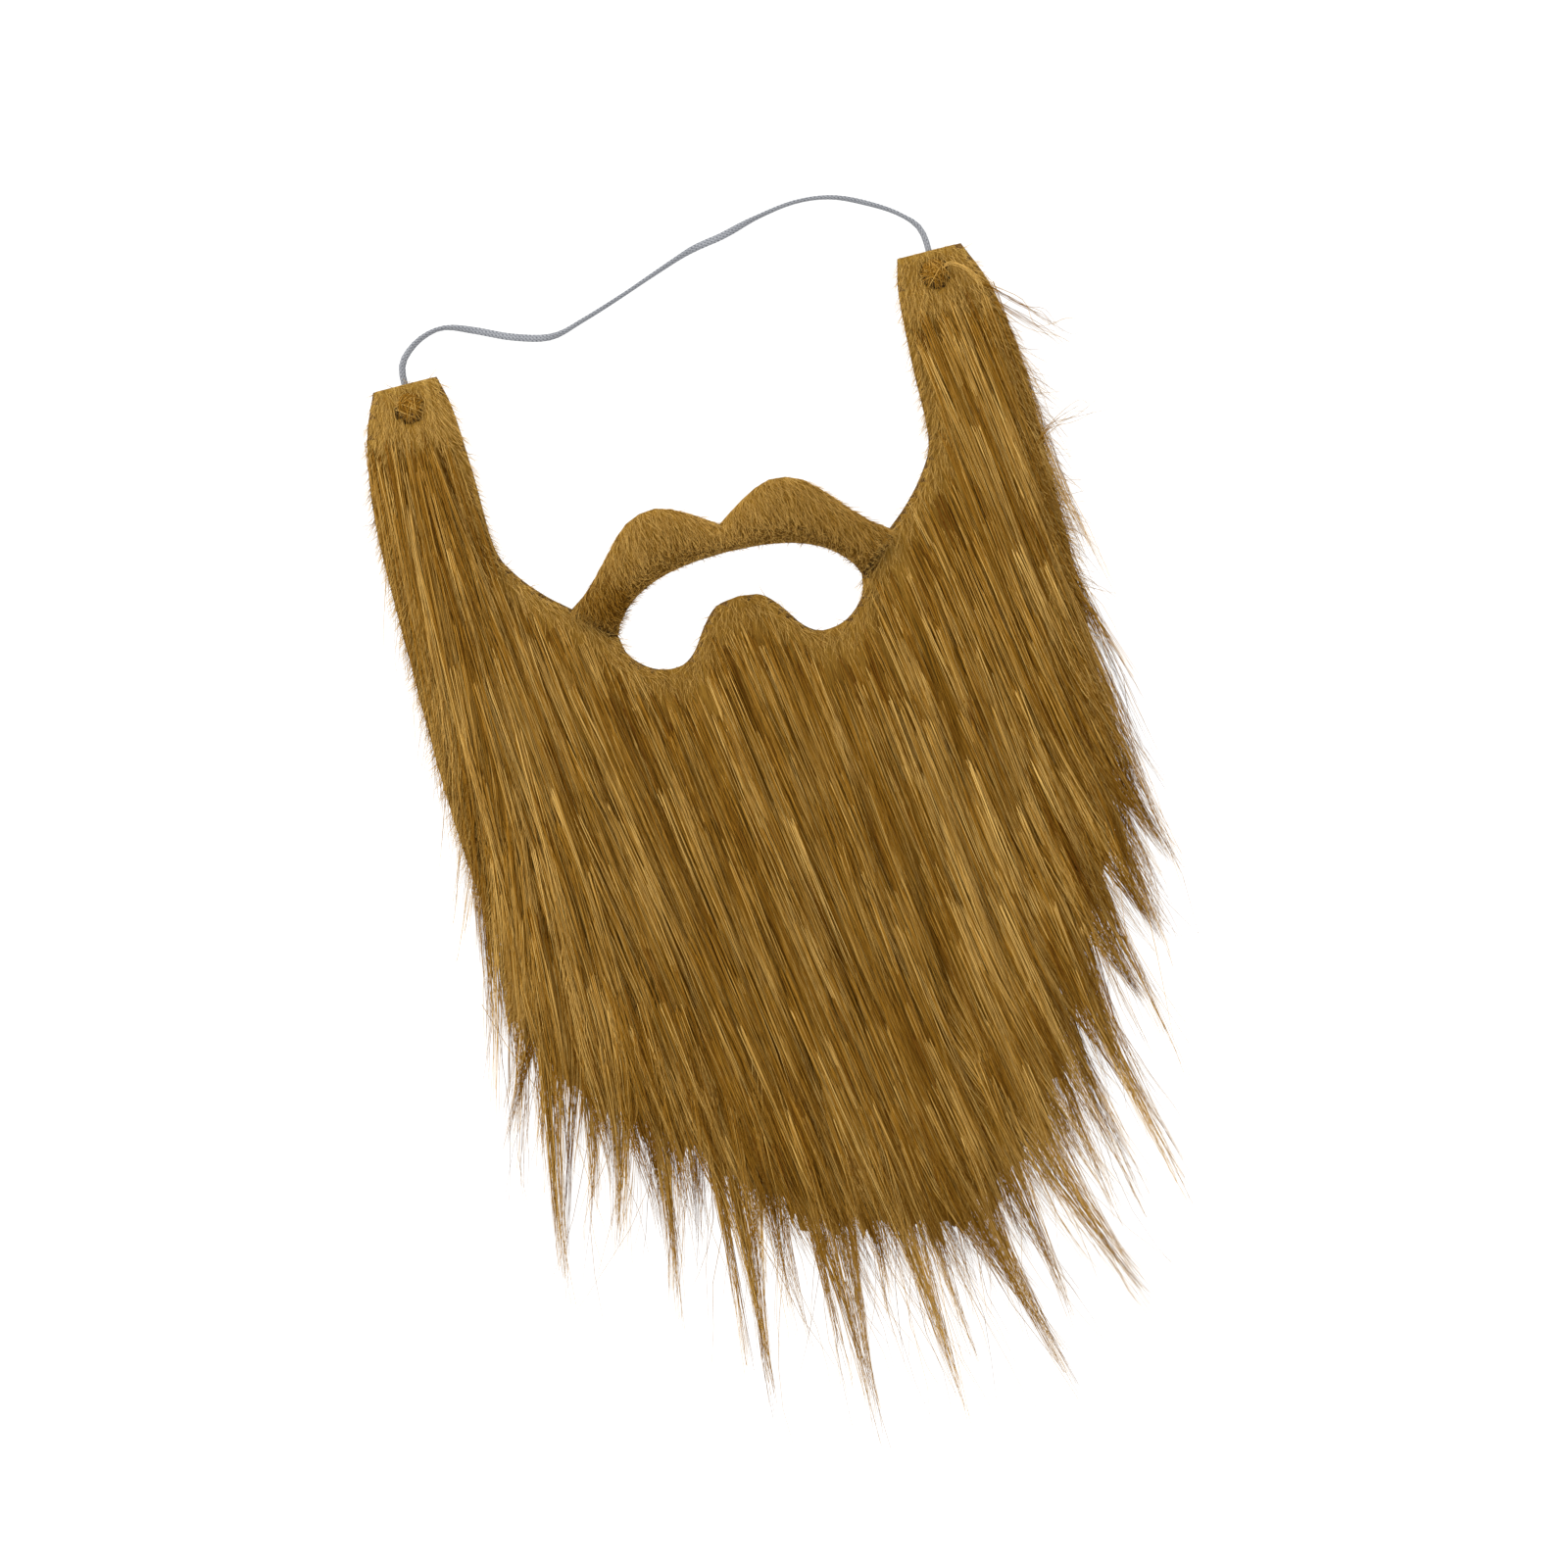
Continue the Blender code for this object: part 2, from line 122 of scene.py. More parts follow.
def addBump(tree, shader, height, strength, distance):
    bump = addNode(tree, "ShaderNodeBump", {"Height": height, "Strength": strength, "Distance": distance})
    tree.links.new(bump.outputs["Normal"], shader.inputs["Normal"])


def addObject(name, data):
    holder = bpy.data.objects.new(name, data)
    bpy.context.scene.collection.objects.link(holder)
    return holder


# A new material, with its node tree and its shader
def newMaterial(name, roughness, specular):
    material = bpy.data.materials.new(name)
    material.use_nodes = True
    shader = material.node_tree.nodes["Principled BSDF"]
    shader.inputs["Roughness"].default_value = roughness
    shader.inputs["Specular IOR Level"].default_value = specular
    return material, material.node_tree, shader


# A curve with a straight-sided spline for each line of points
def polyCurve(name, lines):
    curve = bpy.data.curves.new(name, "CURVE")
    curve.dimensions = "3D"
    for line in lines:
        spline = curve.splines.new("POLY")
        spline.points.add(len(line) - 1)
        for point, place in zip(spline.points, line):
            point.co = (*place, 1.0)
    return addObject(name, curve)


# A finished piece from a bmesh, smooth and with its material
def finishPiece(name, work, material):
    mesh = bpy.data.meshes.new(name)
    work.to_mesh(mesh)
    work.free()
    mesh.shade_smooth()
    mesh.materials.append(material)
    return addObject(name, mesh)


# A Geometry Nodes tree with named inputs, and the node that gives them
def geometryTree(name, sockets):
    tree = bpy.data.node_groups.new(name, "GeometryNodeTree")
    tree.interface.new_socket("Geometry", in_out="OUTPUT", socket_type="NodeSocketGeometry")
    tree.interface.new_socket("Geometry", in_out="INPUT", socket_type="NodeSocketGeometry")
    for label, kind, value in sockets:
        socket = tree.interface.new_socket(label, in_out="INPUT", socket_type=kind)
        if value is not None:
            socket.default_value = value
    return tree, tree.nodes.new("NodeGroupInput")


# The end of every tree: real geometry that stays above the table, smooth and with its material
def finishTree(tree, geometry, material):
    real = addNode(tree, "GeometryNodeRealizeInstances", {"Geometry": geometry})
    position = tree.nodes.new("GeometryNodeInputPosition").outputs[0]
    place = addNode(tree, "ShaderNodeSeparateXYZ", {0: position})
    height = calculate(tree, "MAXIMUM", place.outputs[2], floorGap)
    raised = addNode(tree, "ShaderNodeCombineXYZ", {0: place.outputs[0], 1: place.outputs[1], 2: height})
    laid = addNode(tree, "GeometryNodeSetPosition", {
        "Geometry": real.outputs[0], "Position": raised.outputs[0],
    })
    smooth = addNode(tree, "GeometryNodeSetShadeSmooth", {"Geometry": laid.outputs[0]})
    painted = addNode(tree, "GeometryNodeSetMaterial", {
        "Geometry": smooth.outputs[0], "Material": material,
    })
    out = tree.nodes.new("NodeGroupOutput")
    tree.links.new(painted.outputs[0], out.inputs["Geometry"])


# The plain mesh object that a tree makes from a source object, which is then removed
def grown(name, source, tree, values):
    modifier = source.modifiers.new(name, "NODES")
    modifier.node_group = tree
    for item in tree.interface.items_tree:
        if item.item_type == "SOCKET" and item.in_out == "INPUT" and item.name in values:
            modifier[item.identifier] = values[item.name]
    graph = bpy.context.evaluated_depsgraph_get()
    mesh = bpy.data.meshes.new_from_object(source.evaluated_get(graph))
    data = source.data
    bpy.data.objects.remove(source)
    if isinstance(data, bpy.types.Curve):
        bpy.data.curves.remove(data)
    else:
        bpy.data.meshes.remove(data)
    mesh.name = name
    return addObject(name, mesh)


# Camera and light

cameraValues = {
    "centre": (-0.0005, -0.1466),  # what the middle of the picture shows, on the pattern
    "height": 1.133,
    "lens": 85.0,
    "roll": math.radians(-14.3),
}


def makeCamera(values):
    camera = addObject("camera", bpy.data.cameras.new("camera"))
    camera.data.lens = values["lens"]
    camera.data.sensor_width = 36.0
    camera.data.clip_start = 0.01
    camera.location = (*onPattern(*values["centre"]), values["height"])
    camera.rotation_euler = (0.0, 0.0, values["roll"])
    bpy.context.scene.camera = camera


lightValues = {
    "key": {"place": (-0.75, 0.65, 0.75), "size": 0.6, "power": 9.6, "colour": (1.0, 0.98, 0.95)},
    "fill": {"place": (0.9, -0.3, 0.9), "size": 1.4, "power": 5.4, "colour": (1.0, 1.0, 1.0)},
    "back": {"place": (0.1, 1.0, 0.9), "size": 0.9, "power": 5.0, "colour": (1.0, 1.0, 1.0)},
    "sky": (1.0, 1.0, 1.0),
    "skyStrength": 1.0,
    "floorReach": 4.0,
    "floorColour": (0.16, 0.16, 0.16),
    "floorGlow": 0.93,  # the table is a lit panel, which keeps the shadows faint
}


def makeLights(values):
    for name in ("key", "fill", "back"):
        lamp = bpy.data.lights.new(name, "AREA")
        lamp.shape = "DISK"
        lamp.size = values[name]["size"]
        lamp.energy = values[name]["power"]
        lamp.color = values[name]["colour"]
        holder = addObject(name, lamp)
        holder.location = values[name]["place"]
        holder.rotation_euler = (-Vector(values[name]["place"])).to_track_quat("-Z", "Y").to_euler()
    world = bpy.data.worlds.new("studio")
    world.use_nodes = True
    background = world.node_tree.nodes["Background"]
    background.inputs["Color"].default_value = (*values["sky"], 1.0)
    background.inputs["Strength"].default_value = values["skyStrength"]
    bpy.context.scene.world = world
    bpy.context.scene.view_settings.view_transform = "Standard"


def makeFloor(values):
    mesh = bpy.data.meshes.new("floor")
    reach = values["floorReach"]
    corners = [(-reach, -reach, 0), (reach, -reach, 0), (reach, reach, 0), (-reach, reach, 0)]
    mesh.from_pydata(corners, [], [(0, 1, 2, 3)])
    material, tree, shader = newMaterial("floor", 0.9, 0.1)
    shader.inputs["Base Color"].default_value = (*values["floorColour"], 1.0)
    shader.inputs["Emission Color"].default_value = (1.0, 1.0, 1.0, 1.0)
    shader.inputs["Emission Strength"].default_value = values["floorGlow"]
    mesh.materials.append(material)
    addObject("floor", mesh)


makeCamera(cameraValues)
makeLights(lightValues)
makeFloor(lightValues)
print("camera and light set")

# The elastic

elasticValues = {
    "width": 0.0022,
    "thickness": 0.0011,
    "knotSeat": (0.0825, -0.0075),
    # from the left knot to the right one, over the table
    "route": (
        (-0.0825, 0.0045), (-0.0795, 0.0095), (-0.0735, 0.0132), (-0.0665, 0.0142), (-0.058, 0.0112),
        (-0.047, 0.0063), (-0.0355, 0.0035), (-0.025, 0.006), (-0.012, 0.0102), (0.0, 0.0145),
        (0.0125, 0.0187), (0.0225, 0.0205), (0.034, 0.0233), (0.0465, 0.025), (0.058, 0.0236),
        (0.069, 0.0186), (0.0775, 0.0128), (0.0822, 0.0062),
    ),
    # x, and how far the flat braid is turned up on its edge there, in degrees
    "turns": (
        (-0.083, 30), (-0.068, 75), (-0.057, 12), (-0.042, 0), (-0.03, 68), (-0.008, 82), (0.008, 60),
        (0.017, 8), (0.024, 12), (0.034, 70), (0.05, 84), (0.066, 62), (0.078, 80), (0.083, 40),
    ),
    "points": 78,
    "step": 0.0004,
    "stitch": 0.0013,
    "ridge": 0.00008,
    "colour": (0.27, 0.28, 0.3, 1.0),
    # painted shade that darkens the grooves between the braid's ridges
    "grooveShadeColour": (0.1, 0.105, 0.12, 1.0),
}


# A Catmull-Rom curve through the stops
def smoothThrough(stops, steps):
    ends = [2 * stops[0] - stops[1]] + stops + [2 * stops[-1] - stops[-2]]
    curve = []
    for before, start, end, after in zip(ends, ends[1:], ends[2:], ends[3:]):
        for step in range(steps):
            t = step / steps
            straight = 2 * start + (end - before) * t
            bent = (2 * before - 5 * start + 4 * end - after) * t * t
            curve.append(0.5 * (straight + bent + (3 * start - before - 3 * end + after) * t ** 3))
    return curve + [stops[-1].copy()]


def atEqualSteps(curve, count):
    reached = [0.0]
    for start, end in zip(curve, curve[1:]):
        reached.append(reached[-1] + (end - start).length)
    found = []
    span = 0
    for index in range(count):
        wanted = reached[-1] * index / (count - 1)
        while span < len(curve) - 2 and reached[span + 1] < wanted:
            span += 1
        share = (wanted - reached[span]) / (reached[span + 1] - reached[span])
        found.append(curve[span].lerp(curve[span + 1], min(1.0, share)))
    return found


# The elastic's middle line, with the turn of the flat braid at each point
def elasticLine(values):
    seatX, seatY = values["knotSeat"]
    stops = [(-seatX, seatY), *values["route"], (seatX, seatY)]
    flatLine = atEqualSteps(smoothThrough([Vector(stop) for stop in stops], 16), values["points"])
    places, angles = zip(*values["turns"])
    line = []
    turns = []
    for point in flatLine:
        turn = math.radians(float(np.interp(point.x, places, angles)))
        upright = values["width"] / 2 * math.sin(turn)
        lying = values["thickness"] / 2 * math.cos(turn)
        height = math.hypot(upright, lying) + values["ridge"] / 2
        line.append((*onPattern(point.x, point.y), height))
        turns.append(turn)
    return line, turns


# A flat braid swept along a curve. Two sets of ridges cross on it, as plaited yarns do.
def elasticTree(material):
    tree, given = geometryTree("braidedElastic", (
        ("Width", "NodeSocketFloat", 0.0022),
        ("Thickness", "NodeSocketFloat", 0.001),
        ("Step", "NodeSocketFloat", 0.0004),
        ("Stitch", "NodeSocketFloat", 0.0013),
        ("Ridge", "NodeSocketFloat", 0.00008),
    ))
    fine = addNode(tree, "GeometryNodeResampleCurve", {
        "Curve": given.outputs["Geometry"], "Length": given.outputs["Step"],
    }, mode="LENGTH")
    length = tree.nodes.new("GeometryNodeSplineParameter").outputs["Length"]
    rail = storeNumber(tree, fine.outputs[0], "along", length)
    ring = addNode(tree, "GeometryNodeCurvePrimitiveCircle", {"Resolution": 20, "Radius": 0.5})
    size = addNode(tree, "ShaderNodeCombineXYZ", {
        0: given.outputs["Width"], 1: given.outputs["Thickness"], 2: 1.0,
    })
    oval = addNode(tree, "GeometryNodeTransform", {
        "Geometry": ring.outputs["Curve"], "Scale": size.outputs[0],
    })
    factor = tree.nodes.new("GeometryNodeSplineParameter").outputs["Factor"]
    profile = storeNumber(tree, oval.outputs[0], "around", factor)
    tube = addNode(tree, "GeometryNodeCurveToMesh", {
        "Curve": rail, "Profile Curve": profile, "Fill Caps": True,
    })
    stitches = calculate(tree, "DIVIDE", storedValue(tree, "along"), given.outputs["Stitch"])
    steps = calculate(tree, "MULTIPLY", stitches, math.pi)
    turn = calculate(tree, "MULTIPLY", storedValue(tree, "around"), 5 * math.pi)
    oneWay = calculate(tree, "ABSOLUTE", calculate(tree, "SINE", calculate(tree, "ADD", steps, turn)))
    otherWay = calculate(tree, "ABSOLUTE", calculate(tree, "SINE", calculate(tree, "SUBTRACT", steps, turn)))
    ridge = calculate(tree, "MAXIMUM", oneWay, otherWay)
    raised = calculate(tree, "MULTIPLY", calculate(tree, "SUBTRACT", ridge, 0.75), given.outputs["Ridge"])
    outward = scaledVector(tree, tree.nodes.new("GeometryNodeInputNormal").outputs[0], raised)
    ridged = addNode(tree, "GeometryNodeSetPosition", {"Geometry": tube.outputs["Mesh"], "Offset": outward})
    finishTree(tree, storeNumber(tree, ridged.outputs[0], "ridge", ridge), material)
    return tree


# White yarn over rubber: pale ridges, grooves darkened with painted shade, and a little soil here and there
def elasticMaterial(values):
    material, tree, shader = newMaterial("braided_elastic", 0.7, 0.3)
    ridge = addNode(tree, "ShaderNodeAttribute", attribute_name="ridge").outputs["Fac"]
    place = tree.nodes.new("ShaderNodeTexCoord").outputs["Object"]
    soil = calculate(tree, "MULTIPLY_ADD", noiseAt(tree, place, 140.0, 3.0), 0.5, -0.3)
    height = addNode(tree, "ShaderNodeMapRange", {"Value": ridge, "From Min": 0.6, "From Max": 0.98})
    share = calculate(tree, "ADD", height.outputs[0], soil)
    colour = mixedColour(tree, share, values["grooveShadeColour"], values["colour"])
    tree.links.new(colour, shader.inputs["Base Color"])
    addBump(tree, shader, noiseAt(tree, place, 4200.0, 2.0), 0.5, 0.0001)
    return material


# The braid's curve. The first line may be closed, and may have a turn for each of its points.
def braidCurve(name, lines, turns=(), closed=False):
    holder = polyCurve(name, lines)
    holder.data.twist_mode = "Z_UP"
    first = holder.data.splines[0]
    first.use_cyclic_u = closed
    for point, turn in zip(first.points, turns):
        point.tilt = turn
    return holder


braid = elasticTree(elasticMaterial(elasticValues))
cordLine, cordTurns = elasticLine(elasticValues)
elasticCord = grown("elastic", braidCurve("elastic_line", [cordLine], cordTurns), braid, {
    "Width": elasticValues["width"],
    "Thickness": elasticValues["thickness"],
    "Step": elasticValues["step"],
    "Stitch": elasticValues["stitch"],
    "Ridge": elasticValues["ridge"],
})

# The knots that stop the elastic on the tabs

knotValues = {
    "yarn": 0.0011,
    "points": 60,
    "sunk": 0.0034,  # how far the knot has settled below the top of its hollow
    "rise": 0.0006,
    "step": 0.0003,
}


# A small overhand knot in the room of the solid one, with the end that goes down through the cloth
def makeKnot(name, node, values):
    low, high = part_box(node)
    middleOfX = (low[0] + high[0]) / 2
    middleOfY = (low[1] + high[1]) / 2
    size = ((high[0] - low[0]) / 2 - values["yarn"] / 2) / 3
    height = high[2] - values["sunk"] - values["rise"] - values["yarn"] / 2
    loop = []
    for index in range(values["points"]):
        turn = 2 * math.pi * index / values["points"]
        loop.append((
            middleOfX + size * (math.sin(turn) + 2 * math.sin(2 * turn)),
            middleOfY + size * (math.cos(turn) - 2 * math.cos(2 * turn)),
            height - values["rise"] * math.sin(3 * turn),
        ))
    stem = [(middleOfX, middleOfY, low[2] + (height - low[2]) * share / 6) for share in range(7)]
    knot = grown(name, braidCurve(name + "_line", [loop, stem], closed=True), braid, {
        "Width": values["yarn"] * 1.1,
        "Thickness": values["yarn"],
        "Step": values["step"],
        "Stitch": elasticValues["stitch"] * 0.8,
        "Ridge": elasticValues["ridge"] / 2,
    })
    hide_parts(node)
    return knot


knots = [makeKnot("tied_" + node, node, knotValues) for node in ("knot_left", "knot_right")]
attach(elasticCord, "root")
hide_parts("elastic_cord")
for knot in knots:
    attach(knot, "root")
print("knots tied")

# The hair's height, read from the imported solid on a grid

gridValues = {
    "step": 0.002,
    "blur": 2,  # rounds of smoothing, which fill the grooves between the solid's locks
    "rings": 12,  # how many steps inwards the distance to the edge is counted
}


def solidBelow(node):
    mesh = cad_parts[node].data
    return BVHTree.FromPolygons([v.co for v in mesh.vertices], [p.vertices for p in mesh.polygons])


beardSolid = solidBelow("beard")
backingSolid = solidBelow("backing")


def topOf(solid, x, y):
    hit = solid.ray_cast(Vector((x, y, 0.1)), Vector((0, 0, -1)))[0]
    return hit.z if hit else None


# For each point of a grid, the sum of its four neighbours
def neighbourSum(grid):
    padded = np.pad(grid, 1, mode="edge")
    return padded[:-2, 1:-1] + padded[2:, 1:-1] + padded[1:-1, :-2] + padded[1:-1, 2:]


# For each point inside an outline, how many steps it lies from the edge
def stepsFromEdge(inside, rings):
    layer = inside.copy()
    steps = inside.astype(float)
    for _ in range(rings):
        core = layer.copy()
        core[1:] &= layer[:-1]
        core[:-1] &= layer[1:]
        core[:, 1:] &= layer[:, :-1]
        core[:, :-1] &= layer[:, 1:]
        layer = core
        steps += layer
    return steps


def readHeights(values):
    low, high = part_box("beard")
    step = values["step"]
    across = int((high[0] - low[0]) / step) + 9
    down = int((high[1] - low[1]) / step) + 9
    startX = low[0] - 4 * step
    startY = low[1] - 4 * step
    heights = np.zeros((down, across))
    for row in range(down):
        for column in range(across):
            top = topOf(beardSolid, startX + column * step, startY + row * step)
            heights[row, column] = top or 0.0
    smooth = heights.copy()
    for _ in range(values["blur"]):
        smooth = np.maximum(smooth * 0.97, 0.4 * smooth + 0.6 * neighbourSum(smooth) / 4)
    inside = heights > 0
    return {
        "heights": smooth,
        "inside": inside,
        "edge": stepsFromEdge(inside, values["rings"]),
        "x": startX,
        "y": startY,
        "step": step,
    }


heightGrid = readHeights(gridValues)


# A grid's value over a place on the table, between its points
def gridValue(name, x, y):
    column = (x - heightGrid["x"]) / heightGrid["step"]
    row = (y - heightGrid["y"]) / heightGrid["step"]
    grid = heightGrid[name]
    rows, columns = grid.shape
    if not (0 <= column < columns - 1 and 0 <= row < rows - 1):
        return 0.0
    c, r = int(column), int(row)
    u, v = column - c, row - r
    low = grid[r, c] * (1 - u) + grid[r, c + 1] * u
    high = grid[r + 1, c] * (1 - u) + grid[r + 1, c + 1] * u
    return float(low * (1 - v) + high * v)


def pileHeight(x, y):
    return gridValue("heights", x, y)


# How far inside the outline a place is
def edgeDistance(x, y):
    return gridValue("edge", x, y) * heightGrid["step"]


print("heights read")

# Materials of the hair


# Streaks of lighter and darker hair round one tone, with painted shade darkening the root and painted light
# paling the tip
def streakGroup():
    tree = bpy.data.node_groups.new("hairStreaks", "ShaderNodeTree")
    for label, kind, value in (
        ("Tone", "NodeSocketFloat", 0.5),
        ("Way", "NodeSocketFloat", 0.5),
        ("Dark", "NodeSocketColor", (0.1, 0.05, 0.01, 1)),
        ("Middle", "NodeSocketColor", (0.3, 0.16, 0.04, 1)),
        ("Light", "NodeSocketColor", (0.5, 0.32, 0.12, 1)),
    ):
        tree.interface.new_socket(label, in_out="INPUT", socket_type=kind).default_value = value
    tree.interface.new_socket("Color", in_out="OUTPUT", socket_type="NodeSocketColor")
    given = tree.nodes.new("NodeGroupInput")
    place = tree.nodes.new("ShaderNodeTexCoord").outputs["Object"]
    combed = addNode(tree, "ShaderNodeMapping", {"Vector": place, "Scale": (900.0, 20.0, 160.0)}).outputs[0]
    fine = calculate(tree, "MULTIPLY_ADD", noiseAt(tree, combed, 1.0, 3.0), 0.5, -0.25)
    broad = calculate(tree, "MULTIPLY_ADD", noiseAt(tree, place, 26.0, 2.0), 0.34, -0.17)
    tone = calculate(tree, "ADD", calculate(tree, "ADD", fine, broad), given.outputs["Tone"])
    # Painted light makes each strand paler towards its translucent tip, and painted shade darkens it towards
    # its root, where it lies under the others.
    tip = calculate(tree, "MULTIPLY", calculate(tree, "POWER", given.outputs["Way"], 3.0), 0.14)
    root = calculate(tree, "POWER", calculate(tree, "SUBTRACT", 1.0, given.outputs["Way"]), 6.0)
    tone = calculate(tree, "ADD", tone, calculate(tree, "MULTIPLY_ADD", root, -0.06, tip))
    colour = given.outputs["Dark"]
    for label, low, high in (("Middle", 0.0, 0.5), ("Light", 0.5, 1.0)):
        share = addNode(tree, "ShaderNodeMapRange", {"Value": tone, "From Min": low, "From Max": high})
        colour = mixedColour(tree, share.outputs[0], colour, given.outputs[label])
    out = tree.nodes.new("NodeGroupOutput")
    tree.links.new(colour, out.inputs["Color"])
    return tree


hairColours = {
    "Dark": (0.095, 0.031, 0.0008, 1.0),
    "Middle": (0.268, 0.126, 0.011, 1.0),
    "Light": (0.58, 0.36, 0.1, 1.0),
}
# Darker than the strands' colours: painted shade for the deep hair that shows between them
undercoatShadeColours = {
    "Dark": (0.085, 0.035, 0.003, 1.0),
    "Middle": (0.225, 0.12, 0.018, 1.0),
    "Light": (0.45, 0.29, 0.08, 1.0),
}


# The streaks in a material, with its own colours and what else it feeds in, on the shader's colour
def addStreaks(tree, shader, streaks, inputs):
    mix = tree.nodes.new("ShaderNodeGroup")
    mix.node_tree = streaks
    for label, source in inputs.items():
        if isinstance(source, bpy.types.NodeSocket):
            tree.links.new(source, mix.inputs[label])
        else:
            mix.inputs[label].default_value = source
    tree.links.new(mix.outputs["Color"], shader.inputs["Base Color"])


def hairMaterial(name, streaks, colours, roughness, specular):
    material, tree, shader = newMaterial(name, roughness, specular)
    tone = addNode(tree, "ShaderNodeAttribute", attribute_name="tone").outputs["Fac"]
    way = addNode(tree, "ShaderNodeAttribute", attribute_name="way").outputs["Fac"]
    addStreaks(tree, shader, streaks, {"Tone": tone, "Way": way, **colours})
    return material


# The dense hair under the strands: combed streaks with a bump and no shine, painted darker than the strands
# as the shade of deep hair, with the body's painted light and shade added
def undercoatMaterial(name, streaks, colours, combed):
    material, tree, shader = newMaterial(name, 0.8, 0.03)
    place = tree.nodes.new("ShaderNodeTexCoord").outputs["Object"]
    stretch = addNode(tree, "ShaderNodeMapping", {"Vector": place, "Scale": combed})
    strands = noiseAt(tree, stretch.outputs[0], 1.0, 4.0)
    paintedShading = addNode(tree, "ShaderNodeAttribute", attribute_name="paintedShading").outputs["Fac"]
    tone = calculate(tree, "MULTIPLY_ADD", strands, 0.9, -0.15)
    # The body's painted light and shade lighten and darken the undercoat.
    tone = calculate(tree, "MULTIPLY_ADD", paintedShading, 1.2, tone)
    addStreaks(tree, shader, streaks, {"Tone": tone, **colours})
    addBump(tree, shader, strands, 0.9, 0.0008)
    return material


streaks = streakGroup()
longHair = hairMaterial("long_hair", streaks, hairColours, 0.6, 0.05)
clippedHair = hairMaterial("clipped_hair", streaks, hairColours, 0.7, 0.03)
undercoatFinish = undercoatMaterial("undercoat", streaks, undercoatShadeColours, (2200.0, 70.0, 300.0))
clippedUndercoat = undercoatMaterial("clipped_undercoat", streaks, undercoatShadeColours, (1800.0, 300.0, 400.0))

# The knitted cloth

clothValues = {
    "stitchWidth": 0.0014,
    "stitchHeight": 0.0011,
    "colour": (0.25, 0.135, 0.035, 1.0),
    # painted shade in the gaps between the stitches
    "grooveShadeColour": (0.09, 0.045, 0.012, 1.0),
}


# Columns of small V stitches, worked out from the place on the cloth, with painted shade darkening the gaps
# between them and wear varying the tone
def clothMaterial(values):
    material, tree, shader = newMaterial("knitted_cloth", 0.85, 0.15)
    coordinates = tree.nodes.new("ShaderNodeTexCoord").outputs["Object"]
    place = addNode(tree, "ShaderNodeSeparateXYZ", {0: coordinates})
    column = calculate(tree, "FRACT", calculate(tree, "DIVIDE", place.outputs[0], values["stitchWidth"]))
    fromMiddle = calculate(tree, "ABSOLUTE", calculate(tree, "SUBTRACT", column, 0.5))
    course = calculate(tree, "DIVIDE", place.outputs[1], values["stitchHeight"])
    row = calculate(tree, "FRACT", calculate(tree, "MULTIPLY_ADD", fromMiddle, 1.1, course))
    bulge = calculate(tree, "SINE", calculate(tree, "MULTIPLY", row, math.pi))
    leg = calculate(tree, "SINE", calculate(tree, "MULTIPLY", fromMiddle, 2 * math.pi))
    leg = calculate(tree, "POWER", leg, 0.5)
    stitch = calculate(tree, "MULTIPLY", calculate(tree, "POWER", bulge, 0.6), leg)
    wear = calculate(tree, "MULTIPLY_ADD", noiseAt(tree, coordinates, 90.0, 4.0), 0.6, 0.55)
    share = calculate(tree, "MULTIPLY", stitch, wear)
    colour = mixedColour(tree, share, values["grooveShadeColour"], values["colour"])
    tree.links.new(colour, shader.inputs["Base Color"])
    fuzz = calculate(tree, "MULTIPLY", noiseAt(tree, coordinates, 2600.0, 2.0), 0.3)
    addBump(tree, shader, calculate(tree, "ADD", stitch, fuzz), 0.8, 0.0003)
    return material


clothFinish = clothMaterial(clothValues)
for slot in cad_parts["backing"].material_slots:
    slot.material = clothFinish
print("materials made")

# Strands that follow guides, for the long hair


